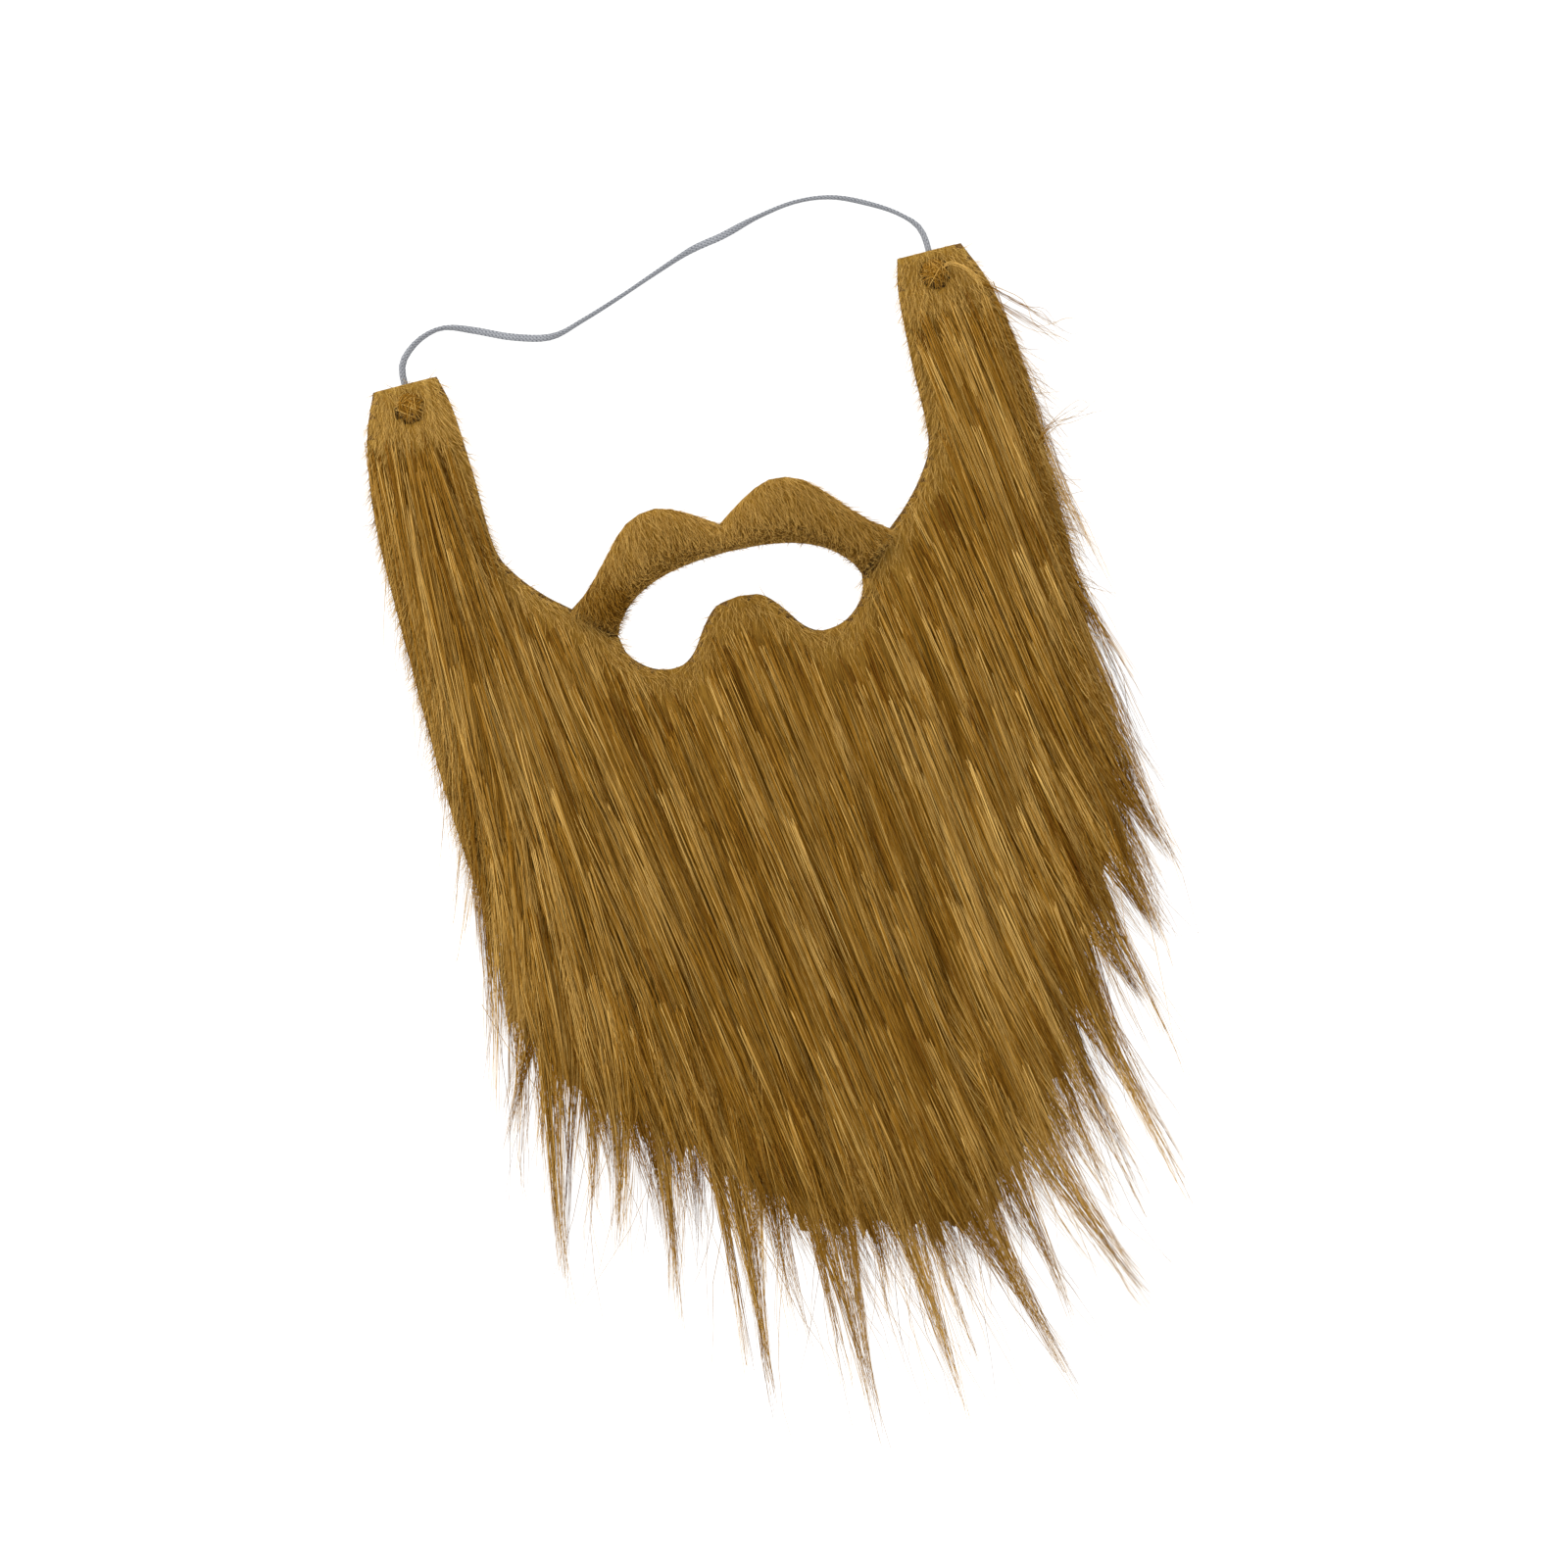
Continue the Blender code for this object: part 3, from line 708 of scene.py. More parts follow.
# A tuft of tapering strands round each guide. A guide point's radius holds its tone.
def strandTree(name, material):
    tree, given = geometryTree(name, (
        ("Strands", "NodeSocketInt", 12),
        ("Spread", "NodeSocketVector", (0.002, 0.003, 0.001)),
        ("Gathering", "NodeSocketFloat", 0.3),
        ("Shortest", "NodeSocketFloat", 0.6),
        ("Thickness", "NodeSocketFloat", 0.00024),
        ("Waver", "NodeSocketFloat", 0.001),
        ("Narrowing", "NodeSocketFloat", 0.86),
        ("Seed", "NodeSocketInt", 1),
    ))
    radius = tree.nodes.new("GeometryNodeInputRadius").outputs[0]
    copies = addNode(tree, "GeometryNodeDuplicateElements", {
        "Geometry": storeNumber(tree, given.outputs["Geometry"], "tuftTone", radius),
        "Amount": given.outputs["Strands"],
    }, domain="SPLINE")
    index = tree.nodes.new("GeometryNodeInputIndex")
    kept = addNode(tree, "GeometryNodeCaptureAttribute", {
        "Geometry": copies.outputs["Geometry"],
    }, domain="CURVE")
    kept.capture_items.new("INT", "Number")
    tree.links.new(index.outputs[0], kept.inputs["Number"])
    number = kept.outputs["Number"]
    longest = calculate(tree, "SUBTRACT", 1.0, given.outputs["Shortest"])
    shortening = calculate(tree, "MULTIPLY", longest, chance(tree, given, 0.0, 1.0, 11, number=number))
    cut = addNode(tree, "GeometryNodeTrimCurve", {
        "Curve": kept.outputs["Geometry"], "End": calculate(tree, "SUBTRACT", 1.0, shortening),
    }, mode="FACTOR")
    way = tree.nodes.new("GeometryNodeSplineParameter").outputs["Factor"]
    closing = calculate(tree, "SUBTRACT", 1.0, given.outputs["Gathering"])
    closed = calculate(tree, "MULTIPLY", calculate(tree, "POWER", way, 1.3), closing)
    gathered = calculate(tree, "SUBTRACT", 1.0, closed)
    anywhere = chance(tree, given, (-1, -1, -1), (1, 1, 1), 23, vector=True, number=number)
    offset = scaledVector(tree, combinedVector(tree, "MULTIPLY", anywhere, given.outputs["Spread"]), gathered)
    wobble = addNode(tree, "ShaderNodeTexNoise", {
        "Vector": tree.nodes.new("GeometryNodeInputPosition").outputs[0],
        "W": chance(tree, given, 0.0, 60.0, 37, number=number),
        "Scale": 24.0,
        "Detail": 1.0,
    }, noise_dimensions="4D")
    centred = combinedVector(tree, "SUBTRACT", wobble.outputs["Color"], (0.5, 0.5, 0.5))
    flat = combinedVector(tree, "MULTIPLY", centred, (2.0, 0.5, 0.35))
    growing = calculate(tree, "MULTIPLY", given.outputs["Waver"], calculate(tree, "ADD", way, 0.15))
    moved = addNode(tree, "GeometryNodeSetPosition", {
        "Geometry": cut.outputs["Curve"],
        "Offset": combinedVector(tree, "ADD", offset, scaledVector(tree, flat, growing)),
    })
    jitter = chance(tree, given, -0.24, 0.24, 51, number=number)
    tone = calculate(tree, "ADD", storedValue(tree, "tuftTone"), jitter)
    toned = storeNumber(tree, moved.outputs[0], "tone", tone)
    narrowing = calculate(tree, "MULTIPLY", calculate(tree, "POWER", way, 2.2), given.outputs["Narrowing"])
    taper = calculate(tree, "SUBTRACT", 1.0, narrowing)
    thinning = chance(tree, given, 0.35, 0.65, 67, number=number)
    halfThick = calculate(tree, "MULTIPLY", given.outputs["Thickness"], thinning)
    ring = addNode(tree, "GeometryNodeCurvePrimitiveCircle", {"Resolution": 3, "Radius": 1.0})
    tube = addNode(tree, "GeometryNodeCurveToMesh", {
        "Curve": storeNumber(tree, toned, "way", way),
        "Profile Curve": ring.outputs["Curve"],
        "Scale": calculate(tree, "MULTIPLY", taper, halfThick),
        "Fill Caps": True,
    })
    finishTree(tree, tube.outputs["Mesh"], material)
    return tree


# A curve through the guides, each with its tone as its points' radius
def guideCurve(name, guides):
    holder = polyCurve(name, [points for points, tone in guides])
    for spline, (points, tone) in zip(holder.data.splines, guides):
        for point in spline.points:
            point.radius = tone
    return holder


# Locks, from the left of the picture to its right, as shares of the cloth's half width across
# and of the hair's length down: root, where the lock leaves the mass, tip, and half width
lockValues = {
    "halfWidth": 0.102,
    "hairDrop": 0.346,
    "rows": (
        (-0.905, -0.935, 0.575, -1.1, 0.697, 0.058),
        (-0.825, -0.865, 0.64, -1.01, 0.821, 0.068),
        (-0.745, -0.76, 0.675, -0.863, 0.795, 0.064),
        (-0.655, -0.676, 0.694, -0.745, 0.85, 0.064),
        (-0.56, -0.585, 0.717, -0.7, 0.861, 0.068),
        (-0.465, -0.475, 0.75, -0.515, 0.945, 0.06),
        (-0.375, -0.385, 0.78, -0.455, 0.957, 0.068),
        (-0.28, -0.285, 0.81, -0.265, 0.97, 0.062),
        (-0.185, -0.19, 0.825, -0.2, 1.0, 0.066),
        (-0.09, -0.092, 0.83, -0.11, 0.915, 0.062),
        (0.005, 0.01, 0.842, 0.049, 0.992, 0.064),
        (0.1, 0.105, 0.852, 0.135, 0.955, 0.06),
        (0.19, 0.2, 0.852, 0.324, 0.985, 0.068),
        (0.285, 0.295, 0.835, 0.42, 0.997, 0.064),
        (0.38, 0.395, 0.81, 0.47, 0.935, 0.062),
        (0.47, 0.5, 0.785, 0.66, 0.955, 0.068),
        (0.565, 0.6, 0.735, 0.71, 0.862, 0.062),
        (0.655, 0.69, 0.675, 0.863, 0.873, 0.068),
        (0.745, 0.79, 0.605, 0.895, 0.71, 0.064),
        (0.825, 0.88, 0.545, 0.985, 0.65, 0.066),
        (0.905, 0.955, 0.47, 1.08, 0.592, 0.056),
    ),
    "tailWidths": ((0.0, 1.0), (0.18, 0.72), (0.42, 0.46), (0.7, 0.24), (1.0, 0.07)),
    "steps": 40,
}


# Whether the mouth lies between a root and the place where its lock leaves the mass
def openAbove(root, leave):
    for share in (0.1, 0.2, 0.3, 0.4, 0.5):
        place = root.lerp(leave, share)
        if topOf(beardSolid, place.x, place.y) is None:
            return True
    return False


# A lock's line over the table as points, its length to each of them, and where its tail starts
def lockLine(row, values):
    rootX, leaveX, leaveY, tipX, tipY, width = row
    wide, drop = values["halfWidth"], values["hairDrop"]
    leave = onPattern(leaveX * wide, -leaveY * drop)
    tip = onPattern(tipX * wide, -tipY * drop)
    root = onPattern(rootX * wide, 0.0)
    # The root goes up to the edge of the long pile, found on the solid itself.
    while topOf(beardSolid, root.x, root.y) is None or openAbove(root, leave):
        root.y -= 0.001
    down, out = leave - root, tip - leave
    onward = (down.normalized() + out.normalized()).normalized()
    mass = interpolate_bezier(root, root + down / 3, leave - onward * down.length / 3, leave, values["steps"])
    tail = interpolate_bezier(leave, leave + onward * out.length / 3, tip - out / 3, tip, values["steps"])
    points = [Vector(p) for p in mass + tail[1:]]
    reached = [0.0]
    for start, end in zip(points, points[1:]):
        reached.append(reached[-1] + (end - start).length)
    return {
        "points": points,
        "reached": reached,
        "leave": reached[values["steps"] - 1],
        "width": width * wide,
        "across": rootX,
    }


# The place, the direction and the half width at a distance along a lock
def alongLock(lock, distance):
    reached = lock["reached"]
    distance = max(0.0, min(distance, reached[-1]))
    index = min(int(np.searchsorted(reached, distance)), len(reached) - 1)
    index = max(index, 1)
    share = (distance - reached[index - 1]) / (reached[index] - reached[index - 1])
    start, end = lock["points"][index - 1], lock["points"][index]
    past = (distance - lock["leave"]) / (reached[-1] - lock["leave"])
    shares, widths = zip(*lockValues["tailWidths"])
    width = lock["width"] * float(np.interp(max(0.0, past), shares, widths))
    return start.lerp(end, share), (end - start).normalized(), width


# How far along a lock the cloth below it reaches
def hemOf(lock):
    distance = 0.0
    for share in np.linspace(0.0, 1.0, 90):
        place = alongLock(lock, share * lock["reached"][-1])[0]
        if topOf(backingSolid, place.x, place.y) is not None:
            distance = share * lock["reached"][-1]
    return distance


locks = [lockLine(row, lockValues) for row in lockValues["rows"]]
print("locks laid out")

longHairValues = {
    "tuftGap": 0.0088,
    "tuftsAcross": 6,
    "length": (0.052, 0.092),
    "fringeZone": 0.055,  # tufts rooted this near the cloth's hem reach into the fringe
    "fringeShare": 0.2,  # the share of those that follow the lock's tail
    "outerShare": 0.05,  # the same for the two outermost locks on each side
    "outerShift": -0.009,
    "closeAbove": 0.024,
    "closeRun": 0.044,
    "closing": 0.66,
    "crownTufts": 8,  # short tufts that start each lock
    "crownZone": 0.014,
    "crownLength": (0.026, 0.048),
    "hemTufts": 28,  # tufts that fill the lower edge of the mass
    "hemZone": (0.052, 0.024),
    "ways": (0.0, 0.1, 0.38, 0.68, 1.0),
    "rise": 0.1,  # the share of a tuft's length over which it comes up from the cloth
    "tabInset": 0.0125,  # how far below the tabs' tops the long hair starts
    "inset": 0.005,
    "sideInset": 0.0035,
    "outerEdge": 0.094,
    "bottomDark": 0.2,
    # across, slope: the hair is combed to the right of the picture, and at the left edge to the left
    "leans": ((-0.905, -0.1), (-0.825, 0.0), (-0.745, 0.07), (-0.6, 0.15), (0.745, 0.15), (0.905, 0.13)),
    "drape": 0.62,  # how much of its height a strand keeps from point to point beyond the pile's edge
    "leanEnd": 0.3,
    "seed": 5,
    "strands": 7,
    "Spread": (0.0013, 0.0016, 0.0005),
    "Gathering": 0.4,
    "Shortest": 0.62,
    "Thickness": 0.00027,
    "Waver": 0.0034,
    "Narrowing": 0.86,
}


# Whether a place is where the long hair may lie: over the pile, or below it in the fringe
def mayLie(x, y, values):
    if abs(x - middleX) > values["outerEdge"] or y - topY < -0.2:
        return True
    return edgeDistance(x, y) > values["sideInset"]


def tuftGuide(lock, start, length, side, depth, drift, values):
    points = []
    shares, leans = zip(*values["leans"])
    lean = float(np.interp(lock["across"], shares, leans))
    lean *= min(1.0, max(0.0, 1 - start / lock["leave"]) / values["leanEnd"])
    last = 0.0
    for way in values["ways"]:
        distance = start + length * way
        centre, ahead, width = alongLock(lock, distance)
        aside = Vector((-ahead.y, ahead.x))
        # Below the mass the tufts of a lock close in on its middle, which opens the gaps of the fringe.
        closing = (distance - lock["leave"] + values["closeAbove"]) / values["closeRun"]
        closing = values["closing"] * min(1.0, max(0.0, closing))
        place = centre + aside * (width * (side + drift * way) * (1 - closing) + lean * length * way)
        if not mayLie(place.x, place.y, values):
            return None
        top = pileHeight(place.x, place.y)
        rise = min(1.0, way / values["rise"])
        rise = rise * rise * (3 - 2 * rise)
        high = max(floorGap * 2, depth * top, last * values["drape"])
        last = high
        low = min(high, clothTop + 0.0006)
        points.append((place.x, place.y, low + (high - low) * rise))
    return points


# How light a tuft is: higher ones get painted light, as they catch more light, and the mass darkens towards
# the fringe
def tuftTone(low, lockTone, depth, rng, values):
    tone = 0.5 + lockTone + rng.gauss(0.0, 0.17) + (depth - 0.87) * 0.6
    return tone - values["bottomDark"] * max(0.0, low - 0.45)


# Tufts for each lock, in the order of the locks
def beardGuides(values):
    rng = random.Random(values["seed"])
    found = []
    for order, lock in enumerate(locks):
        guides = []
        hem = hemOf(lock)
        whole = lock["reached"][-1]
        rows = max(2, int(hem / values["tuftGap"]))
        lockTone = rng.uniform(-0.05, 0.05)
        first = values["tabInset"] if abs(lock["across"]) > 0.7 else values["inset"]
        outer = order < 2 or order >= len(locks) - 2
        tailShare = values["outerShare"] if outer else values["fringeShare"]
        shift = values["outerShift"] if outer else 0.0
        outward = {0: (-2.1, 1.25), len(locks) - 1: (-1.25, 2.1)}.get(order, (-1.3, 1.3))
        for row in range(rows):
            for column in range(values["tuftsAcross"]):
                for _ in range(3):
                    start = hem * (row + rng.uniform(-0.6, 0.6)) / (rows - 1)
                    start = max(first + rng.uniform(0.0, 0.008), min(hem, start))
                    across = (column + rng.random()) / values["tuftsAcross"]
                    side = -(outward[0] + (outward[1] - outward[0]) * across)
                    length = rng.uniform(*values["length"])
                    if start > hem - values["fringeZone"]:
                        share = rng.uniform(0.1, 0.85) if rng.random() < tailShare else 0.0
                        end = lock["leave"] + (whole - lock["leave"]) * share
                        end += rng.uniform(-0.016, 0.01) + shift
                        length = max(length * 0.7, end - start)
                    length = min(length, whole - start - rng.uniform(0.0, 0.006))
                    depth = rng.uniform(0.7, 1.03)
                    drift = rng.uniform(-0.28, 0.28)
                    points = tuftGuide(lock, start, length, side, depth, drift, values)
                    if points:
                        break
                if points:
                    tone = tuftTone(start / lock["leave"], lockTone, depth, rng, values)
                    guides.append((points, tone))
        hemTufts = 0 if order >= len(locks) - 2 else values["hemTufts"]
        for number in range(values["crownTufts"] + hemTufts):
            side = rng.uniform(-1.3, 1.3)
            depth = rng.uniform(0.7, 1.03)
            if number < values["crownTufts"]:
                start = first + rng.uniform(0.0, values["crownZone"])
                length = rng.uniform(*values["crownLength"])
            else:
                start = lock["leave"] - rng.uniform(*values["hemZone"]) + shift
                length = lock["leave"] - start + rng.uniform(-0.006, 0.02) + shift
            points = tuftGuide(lock, start, length, side, depth, rng.uniform(-0.2, 0.2), values)
            if points:
                tone = tuftTone(start / lock["leave"], lockTone, depth, rng, values)
                guides.append((points, tone))
        found.append(guides)
    return found


strandPattern = strandTree("longStrands", longHair)
tufts = beardGuides(longHairValues)
print("tufts:", sum(len(guides) for guides in tufts))


# A piece of strands on guides, with the inputs that its values hold
def grownStrands(name, guides, values, seed):
    labels = ("Spread", "Gathering", "Shortest", "Thickness", "Waver", "Narrowing")
    inputs = {label: values[label] for label in labels}
    inputs["Strands"] = values["strands"]
    inputs["Seed"] = seed
    piece = grown(name, guideCurve(name + "_guides", guides), strandPattern, inputs)
    print(name, len(guides), "tufts,", len(piece.data.polygons), "faces")
    return piece


lockParts = (
    ("hair_left", 0, 5),
    ("hair_left_middle", 5, 9),
    ("hair_middle", 9, 12),
    ("hair_right_middle", 12, 16),
    ("hair_right", 16, 21),
)
hairPieces = []
for order, (name, first, last) in enumerate(lockParts):
    guides = [guide for group in tufts[first:last] for guide in group]
    hairPieces.append(grownStrands(name, guides, longHairValues, 100 + order))

# Wisps that hang loose below the mass and beside it, from the left of the picture to its right:
# start across and down, tip across and down, sideways bend, and number of tufts
wispValues = {
    "rows": (
        (-0.096, -0.120, -0.110, -0.165, 0.002, 1),
        (-0.097, -0.150, -0.114, -0.184, 0.002, 1),
        (-0.098, -0.165, -0.111, -0.226, 0.002, 3),
        (-0.095, -0.195, -0.110, -0.243, 0.002, 4),
        (-0.090, -0.208, -0.102, -0.246, 0.001, 6),
        (-0.086, -0.214, -0.104, -0.285, -0.003, 8),
        (-0.078, -0.220, -0.089, -0.262, 0.001, 7),
        (-0.070, -0.226, -0.086, -0.277, 0.001, 8),
        (-0.060, -0.232, -0.072, -0.299, 0.002, 10),
        (-0.051, -0.243, -0.055, -0.322, 0.002, 5),
        (-0.042, -0.246, -0.051, -0.332, 0.001, 11),
        (-0.033, -0.256, -0.038, -0.308, -0.001, 4),
        (-0.027, -0.266, -0.027, -0.336, 0.001, 3),
        (-0.019, -0.265, -0.021, -0.346, 0.001, 12),
        (-0.009, -0.274, -0.008, -0.320, 0.001, 3),
        (0.000, -0.274, 0.006, -0.345, 0.002, 8),
        (0.010, -0.276, 0.013, -0.335, -0.001, 3),
        (0.021, -0.272, 0.041, -0.346, -0.003, 12),
        (0.033, -0.264, 0.044, -0.326, 0.003, 6),
        (0.044, -0.257, 0.070, -0.333, -0.003, 10),
        (0.053, -0.248, 0.068, -0.306, 0.001, 6),
        (0.060, -0.234, 0.076, -0.298, 0.001, 6),
        (0.070, -0.214, 0.090, -0.303, -0.004, 8),
        (0.082, -0.196, 0.096, -0.262, 0.002, 3),
        (0.091, -0.178, 0.101, -0.230, 0.001, 3),
        (0.098, -0.150, 0.110, -0.206, 0.004, 3),
        (0.100, -0.110, 0.114, -0.158, 0.003, 2),
        (0.099, -0.070, 0.113, -0.115, 0.003, 1),
    ),
    "root": 0.034,  # how far back inside the mass a wisp starts
    "ways": (0.0, 0.14, 0.3, 0.5, 0.68, 0.85, 1.0),
    "tipHeight": 0.0012,
    "seed": 31,
    "strands": 12,
    "Spread": (0.002, 0.005, 0.0006),
    "Gathering": 0.1,
    "Shortest": 0.55,
    "Thickness": 0.00028,
    "Waver": 0.0036,
    "Narrowing": 0.7,
    "tone": (0.62, 0.13),
}


# A bent line from inside the mass to a tip on the table. A tuft of a wisp closes in on the wisp's axis.
def looseGuide(start, tip, bend, height, values, axis=None):
    ahead = (tip - start).normalized()
    aside = Vector((-ahead.y, ahead.x))
    root = start - ahead * values["root"]
    middle = start.lerp(tip, 0.45) + aside * bend
    if axis:
        middle = middle.lerp(axis[0].lerp(axis[1], 0.45) + aside * bend, 0.65)
    points = []
    for way in values["ways"]:
        near = root.lerp(middle, way)
        place = near.lerp(middle.lerp(tip, way), way)
        falling = height * (1 - way) ** 1.4 + values["tipHeight"]
        top = pileHeight(place.x, place.y)
        if way == 0.0:
            falling = min(falling, max(top * 0.6, floorGap))
        points.append((place.x, place.y, falling))
    return points


def wispGuides(values):
    rng = random.Random(values["seed"])
    guides = []
    for startX, startY, tipX, tipY, bend, tuftCount in values["rows"]:
        for _ in range(tuftCount):
            wide = 0.0008 * tuftCount + 0.001
            axis = (onPattern(startX, startY), onPattern(tipX, tipY))
            start = axis[0] + Vector((rng.uniform(-wide, wide), rng.uniform(-0.006, 0.012)))
            tip = axis[1] + Vector((rng.gauss(0.0, 0.0009), rng.uniform(-0.006, 0.012)))
            height = max(0.003, pileHeight(start.x, start.y)) * rng.uniform(0.85, 1.05)
            points = looseGuide(start, tip, bend, height, values, axis)
            guides.append((points, rng.gauss(*values["tone"])))
    return guides


hairPieces.append(grownStrands("hair_wisps", wispGuides(wispValues), wispValues, 210))

# Single stray hairs along the fringe and the outer sides

strayValues = {
    "fringe": 380,
    "fringeStart": (-0.03, 0.02),  # from where a lock leaves the mass
    "fringeLength": (0.022, 0.055),
    "sides": 1100,
    "sideZone": (0.036, 0.2),  # how far below the tabs' tops they start
    "sideEdge": 0.0985,
    "sideLean": (0.05, 0.42),
    "sideLength": (0.012, 0.032),
    "cloud": 420,
    "cloudStart": (0.094, 0.1),
    "cloudZone": (0.03, 0.11),
    "tones": {"fringe": (0.55, 0.15), "sides": (0.56, 0.14), "cloud": (0.66, 0.1), "flyaways": (0.6, 0.1)},
    # three bent wisps beside the right ear: start, bend and end
    "flyaways": (
        ((0.096, -0.014), (0.1055, -0.0225), (0.11, -0.0287), (0.1175, -0.032), (0.125, -0.0335)),
        ((0.098, -0.02), (0.1075, -0.0293), (0.1144, -0.0359), (0.119, -0.0395)),
        ((0.099, -0.066), (0.1056, -0.061), (0.1134, -0.0592), (0.121, -0.0566), (0.126, -0.058)),
    ),
    "flyawayHairs": 8,
    "furthest": 0.1215,
    "widest": 0.1125,  # no stray's tip lies further out than this
    "root": 0.018,
    "ways": (0.0, 0.18, 0.4, 0.6, 0.8, 1.0),
    "tipHeight": 0.0014,
    "seed": 47,
    "strands": 1,
    "Spread": (0.0004, 0.0006, 0.0004),
    "Gathering": 0.5,
    "Shortest": 0.75,
    "Thickness": 0.0002,
    "Waver": 0.0075,
    "Narrowing": 0.7,
}


def strayGuides(values):
    rng = random.Random(values["seed"])
    guides = []
    for _ in range(values["fringe"]):
        lock = rng.choice(locks)
        centre, ahead, width = alongLock(lock, lock["leave"] + rng.uniform(*values["fringeStart"]))
        aside = Vector((-ahead.y, ahead.x))
        start = centre + aside * width * rng.uniform(-2.2, 2.2)
        turn = rng.gauss(0.0, 0.2)
        heading = (ahead + aside * turn).normalized()
        tip = start + heading * rng.uniform(*values["fringeLength"])
        tip.x = max(-values["widest"], min(values["widest"], tip.x))
        height = max(0.002, pileHeight(start.x, start.y))
        points = looseGuide(start, tip, rng.gauss(0.0, 0.004), height, values)
        guides.append((points, rng.gauss(*values["tones"]["fringe"])))
    for _ in range(values["sides"]):
        side = rng.choice((-1, 1))
        y = -rng.uniform(*values["sideZone"])
        x = side * (values["sideEdge"] - 0.014 * max(0.0, -y - 0.13) / 0.07 * (side < 0))
        start = onPattern(x - side * rng.uniform(0.0, 0.004), y)
        heading = Vector((side * rng.uniform(*values["sideLean"]), -1.0)).normalized()
        tip = start + heading * rng.uniform(*values["sideLength"])
        height = max(0.002, pileHeight(start.x - side * 0.004, start.y)) * rng.uniform(0.4, 1.0)
        points = looseGuide(start, tip, rng.gauss(0.0, 0.002), height, values)
        guides.append((points, rng.gauss(*values["tones"]["sides"])))
    # A thin cloud and a few longer hairs that have sprung loose beside the right ear
    for _ in range(values["cloud"]):
        start = onPattern(rng.uniform(*values["cloudStart"]), -rng.uniform(*values["cloudZone"]))
        away = rng.random() ** 1.6
        tip = onPattern(0.102 + 0.011 * away, start.y - topY - rng.uniform(0.003, 0.022))
        points = looseGuide(start, tip, rng.uniform(-0.004, 0.006), 0.006, values)
        guides.append((points, rng.gauss(*values["tones"]["cloud"])))
    for stops in values["flyaways"]:
        for _ in range(values["flyawayHairs"]):
            line = [onPattern(*stops[0])]
            for order, stop in enumerate(stops[1:]):
                stray = Vector((rng.gauss(0.0, 0.0007), rng.gauss(0.0, 0.0007)))
                line.append(onPattern(*stop) + stray * (order + 1))
            line = smoothThrough(line, 4)
            points = []
            for way, place in enumerate(line):
                x = min(place.x, middleX + values["furthest"])
                points.append((x, place.y, 0.006 - 0.0045 * way / len(line)))
            guides.append((points, rng.gauss(*values["tones"]["flyaways"])))
    return guides


hairPieces.append(grownStrands("hair_strays", strayGuides(strayValues), strayValues, 320))

# Clipped hairs that lie across the knots, and the curled fibre beside the right one

curlValues = {
    "across": 130,
    "reach": 0.0042,
    "over": -0.0009,  # how far above the solid knot's top they pass
    "ways": (0.0, 0.25, 0.5, 0.75, 1.0),
    "curl": ((0.084, -0.007), (0.088, -0.0062), (0.0918, -0.0088), (0.0943, -0.0128), (0.0948, -0.0172)),
    "curlTufts": 5,
    "tones": {"across": (0.5, 0.14), "curl": (1.1, 0.06)},
    "curlRise": 0.0034,
    "seed": 53,
    "strands": 1,
    "Spread": (0.0004, 0.0004, 0.0002),
    "Gathering": 0.8,
    "Shortest": 0.85,
    "Thickness": 0.0003,
    "Waver": 0.001,
    "Narrowing": 0.6,
}


def curlGuides(values):
    rng = random.Random(values["seed"])
    guides = []
    for node in ("knot_left", "knot_right"):
        low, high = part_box(node)
        seat = Vector(((low[0] + high[0]) / 2, (low[1] + high[1]) / 2))
        for _ in range(values["across"]):
            turn = rng.gauss(math.pi / 2, 0.7)
            start = seat + Vector((math.cos(turn), math.sin(turn))) * values["reach"]
            away = turn + math.pi + rng.gauss(0.0, 0.7)
            end = seat + Vector((math.cos(away), math.sin(away))) * values["reach"] * rng.uniform(0.6, 1.4)
            crown = high[2] + values["over"] * rng.uniform(-0.2, 1.0)
            points = []
            for way in values["ways"]:
                place = start.lerp(end, way)
                points.append((place.x, place.y, crown - 0.0016 * (2 * way - 0.9) ** 2))
            guides.append((points, rng.gauss(*values["tones"]["across"])))
    for _ in range(values["curlTufts"]):
        shift = Vector((rng.gauss(0.0, 0.0003), rng.gauss(0.0, 0.0003)))
        stops = [onPattern(*stop) + shift for stop in values["curl"]]
        line = smoothThrough(stops, 4)
        points = [(p.x, p.y, pileHeight(p.x, p.y) + values["curlRise"]) for p in line[2:]]
        guides.append((points, rng.gauss(*values["tones"]["curl"])))
    return guides


hairPieces.append(grownStrands("tab_curls", curlGuides(curlValues), curlValues, 410))

# The dense hair under the strands

undercoatValues = {
    "share": 0.78,
    "edgeRun": 0.007,
    "edgeHeight": 0.0024,
    "fringeInset": -0.001,
    "scallop": 0.007,  # how much higher its lower edge is between two locks
    "tooth": 0.008,  # how far its lower edge runs out in points
    "clippedTop": 0.019,  # the clipped stretch below the tabs' tops
    "napWidth": 0.012,
    "outlineSteps": 10,
    "outlineStep": 0.00022,
}


# How far inside an outline each point of the grid is, and the slope of that across and down
def napField(inside):
    edge = stepsFromEdge(inside, gridValues["rings"])
    soft = edge.copy()
    for _ in range(2):
        soft = (neighbourSum(soft) + soft) / 5
    slopeY, slopeX = np.gradient(soft)
    return edge * heightGrid["step"], slopeX, slopeY


# How far a point of the body's edge can go outwards before it leaves the solid pile
def toOutline(x, y, outward, values):
    reached = 0.0
    for _ in range(values["outlineSteps"]):
        further = reached + values["outlineStep"]
        if topOf(beardSolid, x + outward.x * further, y + outward.y * further) is None:
            break
        reached = further
    return reached
